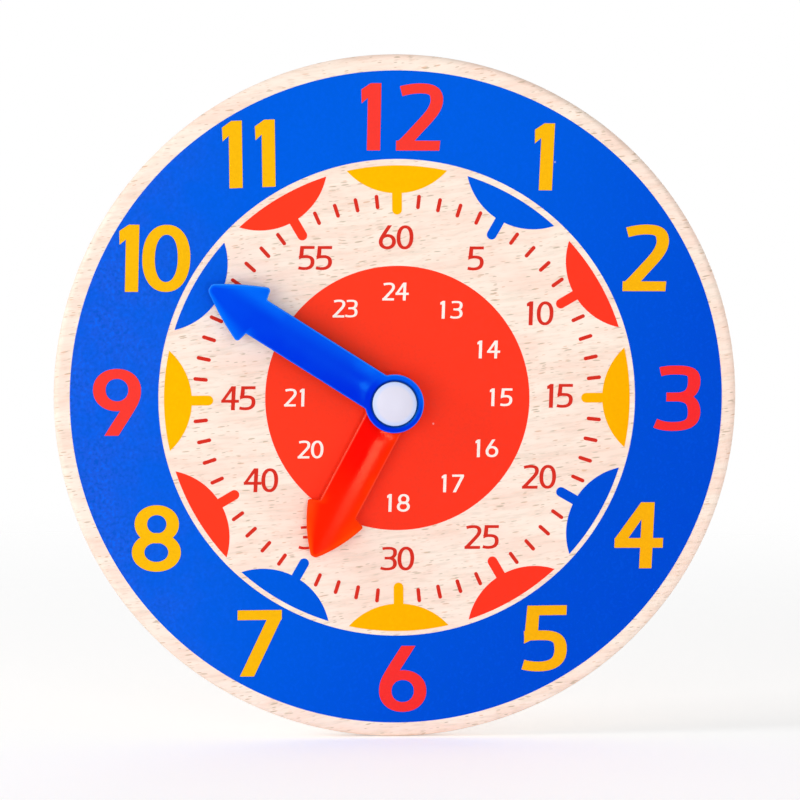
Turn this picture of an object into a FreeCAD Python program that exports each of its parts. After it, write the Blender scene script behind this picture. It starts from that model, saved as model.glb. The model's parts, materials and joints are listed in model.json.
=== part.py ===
import FreeCAD, Part
import math
import os

# Geared teaching clock: a round wooden dial, two hands and a 12 to 1 train in a case behind it.
#
# Frame: millimetres, +Z up towards 12 o'clock, the dial faces -Y. The origin is the point where
# the hands' axis meets the flat rear face of the gear cover. Places along the axis are stations,
# counted forward from that face, so a station s lies at y = -s. Angles are clock angles: degrees
# clockwise from 12 o'clock, seen from the front.

Vector = FreeCAD.Vector
FORWARD = Vector(0, -1, 0)
HAND_AXIS = Vector(0, 1, 0)
CUT_OVERRUN = 1.0

# ---- dial board ----
BOARD_DIAMETER = 200.0
BOARD_THICKNESS = 6.0
BOARD_FRONT_ROUND = 1.9
BOARD_BACK_ROUND = 1.0
# The bush lies low and to one side in its wide hole, so the board sits off the hands' axis.
BOARD_SHIFT_X = 1.05
BOARD_SHIFT_Z = 1.5

# ---- gears ----
MODULE = 0.8
PRESSURE_ANGLE = math.radians(20.0)
PROFILE_SHIFT = 0.45
ADDENDUM = 0.85
DEDENDUM = 1.25
BACKLASH = 0.15
FLANK_POINTS = 6
CENTRE_PINION_TEETH = 10
INTERMEDIATE_WHEEL_TEETH = 30
INTERMEDIATE_PINION_TEETH = 8
HOUR_WHEEL_TEETH = 32
WHEEL_WIDTH = 2.0
PINION_WIDTH = 2.4
WHEEL_WEB = 1.1
WHEEL_RIM = 1.2
WEB_HOLES = 5
WEB_HOLE_RADIUS = 1.6

# ---- arbor, pipe, bush and nut ----
ARBOR_RADIUS = 1.75
ARBOR_JOURNAL_RADIUS = 1.25
ARBOR_CHAMFER = 0.3
PIPE_WALL = 0.75
BUSH_RADIUS = 4.0
BUSH_FLANGE_RADIUS = 5.5
BUSH_FLANGE_THICKNESS = 0.8
BUSH_CHAMFER = 0.3
BUSH_PAST_NUT = 0.2
NUT_ACROSS_FLATS = 11.0
NUT_THICKNESS = 1.6
NUT_CORNER_CHAMFER = 0.35
NUT_WASHER_THICKNESS = 0.5
NUT_WASHER_HOLE_GAP = 0.15
COVERED_BOARD_LEDGE = 0.35
GASKET_THICKNESS = 0.5
GASKET_RADIUS = 11.0
AXLE_RADIUS = 1.0
AXLE_SEAT_DEPTH = 1.0
AXLE_WASHER_RADIUS = 2.4
AXLE_WASHER_THICKNESS = 0.2

# ---- gear case ----
CASE_WALL = 1.8
CASE_FLOOR = 1.6
CASE_CORNER_RADIUS = 4.0
CASE_EDGE_ROUND = 0.6
COVER_THICKNESS = 1.6
COVER_LIP_HEIGHT = 1.0
COVER_LIP_WIDTH = 1.0
COVER_LIP_GAP = 0.15
SCREW_BOSS_RADIUS = 2.9
BEARING_FLOOR = 0.6
BEARING_GAP = 0.3

# ---- cover screws ----
SCREW_RADIUS = 1.1
SCREW_HEAD_RADIUS = 2.0
SCREW_HEAD_RECESS = 0.1
SCREW_HEAD_HEIGHT = 0.9
SCREW_LENGTH = 6.5
SCREW_TIP = 0.8
SCREW_SLOT_WIDTH = 0.5
SCREW_SLOT_DEPTH = 0.6
SCREW_SLOT_LENGTH = 2.2

# ---- friction drive ----
SPRING_HEIGHT = 1.3
SPRING_THICKNESS = 0.3
SPRING_INNER_RADIUS = 3.3
SPRING_OUTER_RADIUS = 5.0
THRUST_WASHER_THICKNESS = 0.3

# ---- hands ----
MINUTE_ANGLE = 302.2
HOUR_ANGLE = 207.7
HAND_THICKNESS = 2.0
HAND_CROWN_RADIUS = 38.0
HAND_FRONT_ROUND = 0.35
HAND_BOSS_FILLET = 1.2
HAND_WASHER_RADIUS = 4.5
HAND_WASHER_THICKNESS = 0.3

MINUTE_LENGTH = 65.0
MINUTE_HALF_WIDTH = 5.75
MINUTE_HEAD_LENGTH = 17.6
MINUTE_BARB_HALF_WIDTH = 9.35
MINUTE_BARB_SWEEP = 0.8
MINUTE_SIDE_BULGE = 0.5
MINUTE_TIP_RADIUS = 1.6
MINUTE_BARB_RADIUS = 0.9

HOUR_LENGTH = 51.9
HOUR_HALF_WIDTH = 5.9
HOUR_HEAD_LENGTH = 16.9
HOUR_BARB_HALF_WIDTH = 9.15
HOUR_BARB_SWEEP = 1.3
HOUR_SIDE_BULGE = 0.9
HOUR_TIP_RADIUS = 1.8
HOUR_BARB_RADIUS = 0.6

# ---- centre cap ----
CAP_RADIUS = 6.43
CAP_RIM_HEIGHT = 0.9
CAP_DOME_HEIGHT = 1.0
CAP_STEM_RADIUS = 0.8
CAP_STEM_LENGTH = 3.0
CAP_SEAT_DEPTH = 0.7
CAP_SEAT_GAP = 0.32
CAP_SEAT_RIM = 1.8
CAP_EDGE_ROUND = 0.45

# ---- clearances ----
RUNNING_GAP = 0.05
SLIDE_GAP = 0.1
SEAT_GAP = 0.1
GEAR_AIR = 0.9
HOUR_WHEEL_AIR = 0.3
SCREW_BOSS_AIR = 0.5
HAND_LIFT = 0.4
SEAM_GAP = 0.02
SAME_PLACE = 0.01


# ---- gear sizes that follow ----
def pitch_radius(teeth):
    return MODULE * teeth / 2


def tip_radius(teeth, shift):
    return MODULE * (teeth / 2 + ADDENDUM + shift)


def root_radius(teeth, shift):
    return MODULE * (teeth / 2 - DEDENDUM + shift)


CENTRE_DISTANCE = pitch_radius(CENTRE_PINION_TEETH) + pitch_radius(INTERMEDIATE_WHEEL_TEETH)
AXLE_Z = -CENTRE_DISTANCE
LARGEST_TIP = max(
    tip_radius(HOUR_WHEEL_TEETH, -PROFILE_SHIFT),
    tip_radius(INTERMEDIATE_WHEEL_TEETH, -PROFILE_SHIFT),
)

# ---- stations, forward from the rear face ----
CAVITY_BACK = COVER_THICKNESS
THRUST_WASHER_BACK = CAVITY_BACK + SPRING_HEIGHT
PINION_BACK = THRUST_WASHER_BACK + THRUST_WASHER_THICKNESS
PINION_FRONT = PINION_BACK + PINION_WIDTH
SMALL_WHEEL_BACK = PINION_BACK + (PINION_WIDTH - WHEEL_WIDTH) / 2
SMALL_WHEEL_FRONT = SMALL_WHEEL_BACK + WHEEL_WIDTH
HOUR_WHEEL_BACK = SMALL_WHEEL_FRONT + GEAR_AIR
HOUR_WHEEL_FRONT = HOUR_WHEEL_BACK + WHEEL_WIDTH
CAVITY_FRONT = HOUR_WHEEL_FRONT + HOUR_WHEEL_AIR
CLUSTER_BACK = CAVITY_BACK + AXLE_WASHER_THICKNESS + SEAT_GAP
CLUSTER_FRONT = CAVITY_FRONT - AXLE_WASHER_THICKNESS - SEAT_GAP
CASE_FRONT = CAVITY_FRONT + CASE_FLOOR
BOARD_BACK = CASE_FRONT + GASKET_THICKNESS
BOARD_FRONT = BOARD_BACK + BOARD_THICKNESS
NUT_BACK = BOARD_FRONT + NUT_WASHER_THICKNESS
NUT_FRONT = NUT_BACK + NUT_THICKNESS
BUSH_FRONT = NUT_FRONT + BUSH_PAST_NUT

HOUR_HAND_BACK = BUSH_FRONT + HAND_LIFT
HOUR_HAND_FRONT = HOUR_HAND_BACK + HAND_THICKNESS
PIPE_FRONT = HOUR_HAND_FRONT
HAND_WASHER_BACK = HOUR_HAND_FRONT + SLIDE_GAP
MINUTE_HAND_BACK = HAND_WASHER_BACK + HAND_WASHER_THICKNESS
MINUTE_HAND_FRONT = MINUTE_HAND_BACK + HAND_THICKNESS
CAP_SEAT = MINUTE_HAND_FRONT - CAP_SEAT_DEPTH
ARBOR_FRONT = CAP_SEAT - SEAT_GAP

# ---- radii that follow ----
PIPE_BORE = ARBOR_RADIUS + RUNNING_GAP
PIPE_RADIUS = PIPE_BORE + PIPE_WALL
BUSH_BORE = PIPE_RADIUS + RUNNING_GAP
BOARD_SHIFT = math.hypot(BOARD_SHIFT_X, BOARD_SHIFT_Z)
BOARD_HOLE_RADIUS = BUSH_RADIUS + BOARD_SHIFT + SEAM_GAP
NUT_WASHER_RADIUS = BOARD_SHIFT + BOARD_HOLE_RADIUS + COVERED_BOARD_LEDGE
HAND_BOSS_RADIUS = CAP_RADIUS + CAP_SEAT_GAP + CAP_SEAT_RIM
BEARING_BOSS_RADIUS = SPRING_INNER_RADIUS - BEARING_GAP
BEARING_BOSS_FRONT = THRUST_WASHER_BACK - BEARING_GAP

# ---- case outline that follows ----
# Wide enough for the wheels inside the walls, and for the screw bosses in the corners.
CASE_HALF_WIDTH = max(
    LARGEST_TIP + GEAR_AIR + CASE_WALL,
    (LARGEST_TIP + SCREW_BOSS_AIR + SCREW_BOSS_RADIUS) / math.sqrt(2) + CASE_CORNER_RADIUS,
)
CASE_TOP = CASE_HALF_WIDTH
CASE_BOTTOM = AXLE_Z - CASE_HALF_WIDTH
SCREW_X = CASE_HALF_WIDTH - CASE_CORNER_RADIUS
SCREW_PLACES = [
    (side * SCREW_X, z)
    for side in (-1, 1)
    for z in (CASE_TOP - CASE_CORNER_RADIUS, CASE_BOTTOM + CASE_CORNER_RADIUS)
]


def place(station, x=0.0, z=0.0):
    """Point at a station, x to the right and z up."""
    return Vector(x, -station, z)


def disc(radius, back, front, x=0.0, z=0.0):
    """Cylinder parallel to the hands' axis, between two stations."""
    return Part.makeCylinder(radius, front - back, place(back, x, z), FORWARD)


def cone(back_radius, front_radius, back, front, x=0.0, z=0.0):
    """Cone parallel to the hands' axis, between two stations."""
    return Part.makeCone(back_radius, front_radius, front - back, place(back, x, z), FORWARD)


def bore(radius, back, front, x=0.0, z=0.0):
    """Cutter for a through hole: a disc that runs past both stations."""
    return disc(radius, back - CUT_OVERRUN, front + CUT_OVERRUN, x, z)


def ring(outer_radius, inner_radius, back, front, x=0.0, z=0.0):
    """Flat ring between two stations."""
    return disc(outer_radius, back, front, x, z).cut(bore(inner_radius, back, front, x, z))


def block(half_width, z_low, z_high, radius, back, front):
    """Plate with a rounded rectangular outline, symmetric about x = 0."""
    corners = [
        (half_width - radius, z_high - radius, 0),
        (half_width - radius, z_low + radius, 90),
        (radius - half_width, z_low + radius, 180),
        (radius - half_width, z_high - radius, 270),
    ]
    arcs = [corner_arc(x, z, radius, start, back) for x, z, start in corners]
    edges = []
    for index, arc in enumerate(arcs):
        following = arcs[(index + 1) % len(arcs)]
        edges.append(arc.toShape())
        edges.append(Part.makeLine(arc.EndPoint, following.StartPoint))
    return raised(Part.Wire(edges), back, front)


def polar(radius, clock_angle, station, x=0.0, z=0.0):
    """Point at a radius and a clock angle in radians about a centre."""
    return place(station, x + radius * math.sin(clock_angle), z + radius * math.cos(clock_angle))


def corner_arc(x, z, radius, start, station):
    """Quarter circle that runs 90 degrees clockwise from a clock angle."""
    points = [polar(radius, math.radians(start + turn), station, x, z) for turn in (0, 45, 90)]
    return Part.Arc(*points)


def raised(wire, back, front):
    """Solid between two stations over a closed wire that lies at the first."""
    return Part.Face(wire).extrude(FORWARD * (front - back))


# ---- gears ----
def involute(angle):
    return math.tan(angle) - angle


def gear(teeth, shift, back, front, z, first_tooth):
    """Spur gear with involute flanks, a tooth centred on a clock angle, between two stations."""
    pitch = pitch_radius(teeth)
    base = pitch * math.cos(PRESSURE_ANGLE)
    tip = tip_radius(teeth, shift)
    root = root_radius(teeth, shift)
    thickness = MODULE * (math.pi / 2 + 2 * shift * math.tan(PRESSURE_ANGLE)) - BACKLASH / 2
    flank_start = max(base, root)

    def half_angle(radius):
        pressure = math.acos(min(1.0, base / radius))
        return thickness / (2 * pitch) + involute(PRESSURE_ANGLE) - involute(pressure)

    step = (tip - flank_start) / (FLANK_POINTS - 1)
    radii = [flank_start + step * index for index in range(FLANK_POINTS)]
    root_half = half_angle(flank_start)
    tooth_angle = 2 * math.pi / teeth
    edges = []
    for index in range(teeth):
        middle = first_tooth + index * tooth_angle
        rising = [polar(radius, middle - half_angle(radius), back, 0, z) for radius in radii]
        falling = [polar(radius, middle + half_angle(radius), back, 0, z) for radius in radii[::-1]]
        foot = polar(root, middle - root_half, back, 0, z)
        far_foot = polar(root, middle + root_half, back, 0, z)
        next_foot = polar(root, middle + tooth_angle - root_half, back, 0, z)
        valley = polar(root, middle + tooth_angle / 2, back, 0, z)
        crest = polar(tip, middle, back, 0, z)
        if root < flank_start:
            edges.append(Part.makeLine(foot, rising[0]))
        edges.append(curve(rising))
        edges.append(Part.Arc(rising[-1], crest, falling[0]).toShape())
        edges.append(curve(falling))
        if root < flank_start:
            edges.append(Part.makeLine(falling[-1], far_foot))
        edges.append(Part.Arc(far_foot, valley, next_foot).toShape())
    return raised(Part.Wire(edges), back, front)


def curve(points):
    spline = Part.BSplineCurve()
    spline.interpolate(points)
    return spline.toShape()


def wheel_blank_cuts(teeth, hub_radius, back, front, z):
    """Pocket on the rear side and round holes that lighten the web of a moulded wheel."""
    rim = root_radius(teeth, -PROFILE_SHIFT) - WHEEL_RIM
    cuts = [ring(rim, hub_radius, back - CUT_OVERRUN, front - WHEEL_WEB, 0, z)]
    middle = (rim + hub_radius) / 2
    for index in range(WEB_HOLES):
        centre = polar(middle, 2 * math.pi * (index + 0.5) / WEB_HOLES, back, 0, z)
        cuts.append(bore(WEB_HOLE_RADIUS, back, front, centre.x, centre.z))
    return cuts


# ---- hands ----
def blade_wire(length, half_width, head_length, barb_half_width, barb_sweep, bulge, station):
    """Outline of an arrow-shaped blade that starts at the axis and points to 12 o'clock.

    Each side of the head is an arc from the barb to the tip, bulging outward by the given amount.
    """
    neck = place(station, half_width, length - head_length)
    barb = place(station, barb_half_width, length - head_length + barb_sweep)
    tip = place(station, 0, length)
    chord = tip - barb
    outward = Vector(chord.z, 0, -chord.x).normalize()
    right = [
        Part.makeLine(place(station, half_width, 0), neck),
        Part.makeLine(neck, barb),
        Part.Arc(barb, (barb + tip) / 2 + outward * bulge, tip).toShape(),
    ]
    heel = Part.makeLine(place(station, -half_width, 0), place(station, half_width, 0))
    left = [edge.mirror(Vector(0, 0, 0), Vector(1, 0, 0)) for edge in reversed(right)]
    return Part.Wire([heel] + right + left)


def fillet_upright(shape, corners, radius):
    """Round the edges parallel to the hands' axis that stand at the given (x, z) corners."""
    chosen = []
    for edge in shape.Edges:
        start = edge.Vertexes[0].Point
        end = edge.Vertexes[-1].Point
        if math.hypot(start.x - end.x, start.z - end.z) > SAME_PLACE:
            continue
        if any(math.hypot(start.x - x, start.z - z) < SAME_PLACE for x, z in corners):
            chosen.append(edge)
    return shape.makeFillet(radius, chosen)


def hand(length, half_width, head_length, barb_half_width, barb_sweep, bulge, tip_round, barb_round, back):
    """Arrow blade with a crowned front and a flat round boss, pointing to 12 o'clock."""
    front = back + HAND_THICKNESS
    wire = blade_wire(length, half_width, head_length, barb_half_width, barb_sweep, bulge, back)
    slab = fillet_upright(raised(wire, back, front), [(0, length)], tip_round)
    barb_z = length - head_length + barb_sweep
    slab = fillet_upright(slab, [(barb_half_width, barb_z), (-barb_half_width, barb_z)], barb_round)
    slab = slab.fuse(disc(HAND_BOSS_RADIUS, back, front)).removeSplitter()
    meeting = math.sqrt(HAND_BOSS_RADIUS ** 2 - half_width ** 2)
    slab = fillet_upright(slab, [(half_width, meeting), (-half_width, meeting)], HAND_BOSS_FILLET)
    crown_start = place(front - HAND_CROWN_RADIUS, 0, -2 * HAND_BOSS_RADIUS)
    crown_length = length + 4 * HAND_BOSS_RADIUS
    crown = Part.makeCylinder(HAND_CROWN_RADIUS, crown_length, crown_start, Vector(0, 0, 1))
    boss = disc(HAND_BOSS_RADIUS, back, front)
    rim = [edge for edge in boss.Edges if is_circle_at(edge, front)]
    boss = boss.makeFillet(HAND_FRONT_ROUND, rim)
    return slab.common(crown).fuse(boss).removeSplitter()


def is_circle_at(edge, station):
    """True for a full round edge that lies at a station."""
    low = edge.BoundBox.YMin
    high = edge.BoundBox.YMax
    return edge.isClosed() and abs(low + station) < SAME_PLACE and abs(high + station) < SAME_PLACE


def turned(shape, clock_angle):
    shape.rotate(Vector(0, 0, 0), HAND_AXIS, clock_angle)
    return shape


def minute_hand():
    blade = hand(
        MINUTE_LENGTH, MINUTE_HALF_WIDTH, MINUTE_HEAD_LENGTH, MINUTE_BARB_HALF_WIDTH,
        MINUTE_BARB_SWEEP, MINUTE_SIDE_BULGE, MINUTE_TIP_RADIUS, MINUTE_BARB_RADIUS,
        MINUTE_HAND_BACK,
    )
    seat = disc(CAP_RADIUS + CAP_SEAT_GAP, CAP_SEAT, MINUTE_HAND_FRONT + CUT_OVERRUN)
    hole = bore(ARBOR_RADIUS, MINUTE_HAND_BACK, MINUTE_HAND_FRONT)
    return turned(blade.cut(seat).cut(hole), MINUTE_ANGLE)


def hour_hand():
    blade = hand(
        HOUR_LENGTH, HOUR_HALF_WIDTH, HOUR_HEAD_LENGTH, HOUR_BARB_HALF_WIDTH,
        HOUR_BARB_SWEEP, HOUR_SIDE_BULGE, HOUR_TIP_RADIUS, HOUR_BARB_RADIUS,
        HOUR_HAND_BACK,
    )
    return turned(blade.cut(bore(PIPE_RADIUS, HOUR_HAND_BACK, HOUR_HAND_FRONT)), HOUR_ANGLE)


def hub_cap():
    """Low dome on a short rim, with a stem that pushes into the arbor."""
    rim_front = CAP_SEAT + CAP_RIM_HEIGHT
    dome_radius = (CAP_RADIUS ** 2 + CAP_DOME_HEIGHT ** 2) / (2 * CAP_DOME_HEIGHT)
    ball = Part.makeSphere(dome_radius, place(rim_front + CAP_DOME_HEIGHT - dome_radius))
    crown = disc(CAP_RADIUS, rim_front, rim_front + dome_radius).common(ball)
    body = disc(CAP_RADIUS, CAP_SEAT, rim_front).fuse(crown).removeSplitter()
    rim = [edge for edge in body.Edges if is_circle_at(edge, rim_front)]
    body = body.makeFillet(CAP_EDGE_ROUND, rim)
    stem = disc(CAP_STEM_RADIUS, CAP_SEAT - CAP_STEM_LENGTH, CAP_SEAT)
    return body.fuse(stem).removeSplitter()


# ---- board and what clamps the case to it ----
def dial_board():
    x, z = BOARD_SHIFT_X, BOARD_SHIFT_Z
    board = disc(BOARD_DIAMETER / 2, BOARD_BACK, BOARD_FRONT, x, z)
    front_edge = [edge for edge in board.Edges if is_circle_at(edge, BOARD_FRONT)]
    board = board.makeFillet(BOARD_FRONT_ROUND, front_edge)
    back_edge = [edge for edge in board.Edges if is_circle_at(edge, BOARD_BACK)]
    board = board.makeFillet(BOARD_BACK_ROUND, back_edge)
    return board.cut(bore(BOARD_HOLE_RADIUS, BOARD_BACK, BOARD_FRONT, x, z))


def mounting_bush():
    flange_front = CAVITY_FRONT + BUSH_FLANGE_THICKNESS
    body = disc(BUSH_RADIUS, flange_front, BUSH_FRONT)
    nose = [edge for edge in body.Edges if is_circle_at(edge, BUSH_FRONT)]
    body = body.makeChamfer(BUSH_CHAMFER, nose)
    body = body.fuse(disc(BUSH_FLANGE_RADIUS, CAVITY_FRONT, flange_front))
    return body.cut(bore(BUSH_BORE, CAVITY_FRONT, BUSH_FRONT))


def bush_nut():
    corner = NUT_ACROSS_FLATS / 2 / math.cos(math.pi / 6)
    points = [polar(corner, index * math.pi / 3, NUT_BACK) for index in range(7)]
    nut = raised(Part.makePolygon(points), NUT_BACK, NUT_FRONT)
    envelope = disc(corner, NUT_BACK, NUT_FRONT)
    face_edges = [edge for edge in envelope.Edges if is_circle_at(edge, NUT_FRONT)]
    envelope = envelope.makeChamfer(NUT_CORNER_CHAMFER, face_edges)
    return nut.common(envelope).cut(bore(BUSH_RADIUS, NUT_BACK, NUT_FRONT))


def nut_washer():
    hole = BUSH_RADIUS + NUT_WASHER_HOLE_GAP
    return ring(NUT_WASHER_RADIUS, hole, BOARD_FRONT, NUT_BACK)


def case_gasket():
    return ring(GASKET_RADIUS, BUSH_RADIUS + NUT_WASHER_HOLE_GAP, CASE_FRONT, BOARD_BACK)


# ---- case ----
def case_block(inset, back, front):
    """Plate with the case's outline, drawn in by an inset."""
    return block(
        CASE_HALF_WIDTH - inset, CASE_BOTTOM + inset, CASE_TOP - inset,
        CASE_CORNER_RADIUS - inset, back, front,
    )


def gear_case():
    """Tray that opens to the rear, with solid corners for the cover screws."""
    tray = case_block(0, CAVITY_BACK, CASE_FRONT)
    cavity = case_block(CASE_WALL, CAVITY_BACK - CUT_OVERRUN, CAVITY_FRONT)
    for x, z in SCREW_PLACES:
        cavity = cavity.cut(disc(SCREW_BOSS_RADIUS, CAVITY_BACK - CUT_OVERRUN, CAVITY_FRONT, x, z))
    tray = tray.cut(cavity)
    for x, z in SCREW_PLACES:
        pilot_end = SCREW_HEAD_RECESS + SCREW_LENGTH + SEAT_GAP
        tray = tray.cut(disc(SCREW_RADIUS, CAVITY_BACK - CUT_OVERRUN, pilot_end, x, z))
    flange_front = CAVITY_FRONT + BUSH_FLANGE_THICKNESS
    tray = tray.cut(disc(BUSH_FLANGE_RADIUS, CAVITY_FRONT - CUT_OVERRUN, flange_front))
    tray = tray.cut(bore(BUSH_RADIUS, CAVITY_FRONT, CASE_FRONT))
    axle_seat = disc(AXLE_RADIUS, CAVITY_FRONT, CAVITY_FRONT + AXLE_SEAT_DEPTH, 0, AXLE_Z)
    return tray.cut(axle_seat)


def gear_cover():
    """Rear plate with a locating lip, the arbor's bearing and the seats of the screw heads."""
    plate = case_block(0, 0, COVER_THICKNESS)
    back_edges = [edge for edge in plate.Edges if lies_at(edge, 0)]
    plate = plate.makeFillet(CASE_EDGE_ROUND, back_edges)
    lip_back = COVER_THICKNESS
    lip_front = COVER_THICKNESS + COVER_LIP_HEIGHT
    inner = CASE_WALL + COVER_LIP_GAP
    lip = case_block(inner, lip_back, lip_front)
    lip = lip.cut(case_block(inner + COVER_LIP_WIDTH, lip_back, lip_front))
    for x, z in SCREW_PLACES:
        lip = lip.cut(bore(SCREW_BOSS_RADIUS + COVER_LIP_GAP, lip_back, lip_front, x, z))
    bearing = disc(BEARING_BOSS_RADIUS, COVER_THICKNESS, BEARING_BOSS_FRONT)
    cover = plate.fuse(lip).fuse(bearing)
    journal_hole = disc(ARBOR_JOURNAL_RADIUS + RUNNING_GAP, BEARING_FLOOR, THRUST_WASHER_BACK)
    cover = cover.cut(journal_hole)
    cover = cover.cut(disc(AXLE_RADIUS, COVER_THICKNESS - AXLE_SEAT_DEPTH, CAVITY_BACK, 0, AXLE_Z))
    for x, z in SCREW_PLACES:
        cover = cover.cut(bore(SCREW_RADIUS, 0, COVER_THICKNESS, x, z))
        cover = cover.cut(screw_head(x, z))
        cover = cover.cut(disc(SCREW_HEAD_RADIUS, -CUT_OVERRUN, SCREW_HEAD_RECESS, x, z))
    return cover


def lies_at(edge, station):
    """True for any edge that lies flat at a station."""
    box = edge.BoundBox
    return abs(box.YMin + station) < SAME_PLACE and abs(box.YMax + station) < SAME_PLACE


def screw_head(x, z):
    back = SCREW_HEAD_RECESS
    return cone(SCREW_HEAD_RADIUS, SCREW_RADIUS, back, back + SCREW_HEAD_HEIGHT, x, z)


def cover_screws():
    """Four countersunk screws with cross recesses."""
    screws = []
    for x, z in SCREW_PLACES:
        neck = SCREW_HEAD_RECESS + SCREW_HEAD_HEIGHT
        end = SCREW_HEAD_RECESS + SCREW_LENGTH
        screw = screw_head(x, z)
        screw = screw.fuse(disc(SCREW_RADIUS, neck, end - SCREW_TIP, x, z))
        screw = screw.fuse(cone(SCREW_RADIUS, SCREW_RADIUS / 2, end - SCREW_TIP, end, x, z))
        for slot_x, slot_z in (
            (SCREW_SLOT_LENGTH, SCREW_SLOT_WIDTH),
            (SCREW_SLOT_WIDTH, SCREW_SLOT_LENGTH),
        ):
            corner = place(SCREW_HEAD_RECESS + SCREW_SLOT_DEPTH, x - slot_x / 2, z - slot_z / 2)
            screw = screw.cut(Part.makeBox(slot_x, SCREW_SLOT_DEPTH + CUT_OVERRUN, slot_z, corner))
        screws.append(screw.removeSplitter())
    return Part.makeCompound(screws)


# ---- train ----
def centre_arbor():
    shoulder = BEARING_BOSS_FRONT + SEAT_GAP
    shaft = disc(ARBOR_RADIUS, shoulder, ARBOR_FRONT)
    nose = [edge for edge in shaft.Edges if is_circle_at(edge, ARBOR_FRONT)]
    shaft = shaft.makeChamfer(ARBOR_CHAMFER, nose)
    shaft = shaft.fuse(disc(ARBOR_JOURNAL_RADIUS, BEARING_FLOOR + SEAT_GAP, shoulder))
    stem_end = CAP_SEAT - CAP_STEM_LENGTH - SEAT_GAP
    return shaft.cut(disc(CAP_STEM_RADIUS, stem_end, ARBOR_FRONT + CUT_OVERRUN))


def centre_pinion():
    pinion = gear(CENTRE_PINION_TEETH, PROFILE_SHIFT, PINION_BACK, PINION_FRONT, 0, math.pi)
    return pinion.cut(bore(ARBOR_RADIUS, PINION_BACK, PINION_FRONT))


def intermediate_wheel():
    """Wheel with a gap towards the centre pinion, and a pinion with a tooth towards the arbor."""
    half_tooth = math.pi / INTERMEDIATE_WHEEL_TEETH
    wheel = gear(
        INTERMEDIATE_WHEEL_TEETH, -PROFILE_SHIFT, SMALL_WHEEL_BACK, SMALL_WHEEL_FRONT, AXLE_Z, half_tooth,
    )
    hub = root_radius(INTERMEDIATE_PINION_TEETH, PROFILE_SHIFT)
    for cutter in wheel_blank_cuts(
        INTERMEDIATE_WHEEL_TEETH, hub, SMALL_WHEEL_BACK, SMALL_WHEEL_FRONT, AXLE_Z,
    ):
        wheel = wheel.cut(cutter)
    pinion = gear(
        INTERMEDIATE_PINION_TEETH, PROFILE_SHIFT, SMALL_WHEEL_FRONT, HOUR_WHEEL_FRONT, AXLE_Z, 0,
    )
    rear_hub = disc(hub, CLUSTER_BACK, SMALL_WHEEL_BACK, 0, AXLE_Z)
    front_hub = disc(hub, HOUR_WHEEL_FRONT, CLUSTER_FRONT, 0, AXLE_Z)
    cluster = wheel.fuse([pinion, rear_hub, front_hub])
    return cluster.cut(bore(AXLE_RADIUS + RUNNING_GAP, CLUSTER_BACK, CLUSTER_FRONT, 0, AXLE_Z))


def intermediate_axle():
    back = COVER_THICKNESS - AXLE_SEAT_DEPTH
    return disc(AXLE_RADIUS, back, CAVITY_FRONT + AXLE_SEAT_DEPTH, 0, AXLE_Z)


def axle_washers():
    hole = AXLE_RADIUS + RUNNING_GAP
    rear = ring(AXLE_WASHER_RADIUS, hole, CAVITY_BACK, CAVITY_BACK + AXLE_WASHER_THICKNESS, 0, AXLE_Z)
    front = ring(AXLE_WASHER_RADIUS, hole, CAVITY_FRONT - AXLE_WASHER_THICKNESS, CAVITY_FRONT, 0, AXLE_Z)
    return Part.makeCompound([rear, front])


def hour_wheel():
    """Wheel with a gap towards the intermediate pinion, in one piece with the hour pipe."""
    gap_angle = math.pi + math.pi / HOUR_WHEEL_TEETH
    wheel = gear(HOUR_WHEEL_TEETH, -PROFILE_SHIFT, HOUR_WHEEL_BACK, HOUR_WHEEL_FRONT, 0, gap_angle)
    hub = BUSH_RADIUS
    for cutter in wheel_blank_cuts(HOUR_WHEEL_TEETH, hub, HOUR_WHEEL_BACK, HOUR_WHEEL_FRONT, 0):
        wheel = wheel.cut(cutter)
    rear_hub = disc(PIPE_RADIUS, PINION_FRONT + SEAT_GAP, HOUR_WHEEL_BACK)
    front_hub = disc(hub, HOUR_WHEEL_FRONT, CAVITY_FRONT - SEAT_GAP)
    pipe = disc(PIPE_RADIUS, CAVITY_FRONT - SEAT_GAP, PIPE_FRONT)
    moulding = wheel.fuse([rear_hub, front_hub, pipe])
    return moulding.cut(bore(PIPE_BORE, PINION_FRONT, PIPE_FRONT))


def friction_spring():
    """Curved spring washer: a ring cut from a thin round shell whose axis lies along X."""
    foot = CAVITY_BACK + SEAM_GAP
    top = THRUST_WASHER_BACK - SEAM_GAP
    height = top - foot
    # The shell's outer face touches the top station and its inner face ends at the foot station.
    bend = SPRING_OUTER_RADIUS ** 2 + height ** 2 - SPRING_THICKNESS ** 2
    bend = bend / (2 * (height - SPRING_THICKNESS))
    start = place(top - bend, -2 * SPRING_OUTER_RADIUS, 0)
    length = 4 * SPRING_OUTER_RADIUS
    shell = Part.makeCylinder(bend, length, start, Vector(1, 0, 0))
    shell = shell.cut(Part.makeCylinder(bend - SPRING_THICKNESS, length, start, Vector(1, 0, 0)))
    return shell.common(ring(SPRING_OUTER_RADIUS, SPRING_INNER_RADIUS, foot, top))


def thrust_washer():
    return ring(SPRING_OUTER_RADIUS, ARBOR_RADIUS, THRUST_WASHER_BACK, PINION_BACK)


def hand_washer():
    return ring(HAND_WASHER_RADIUS, ARBOR_RADIUS, HAND_WASHER_BACK, MINUTE_HAND_BACK)


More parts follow.
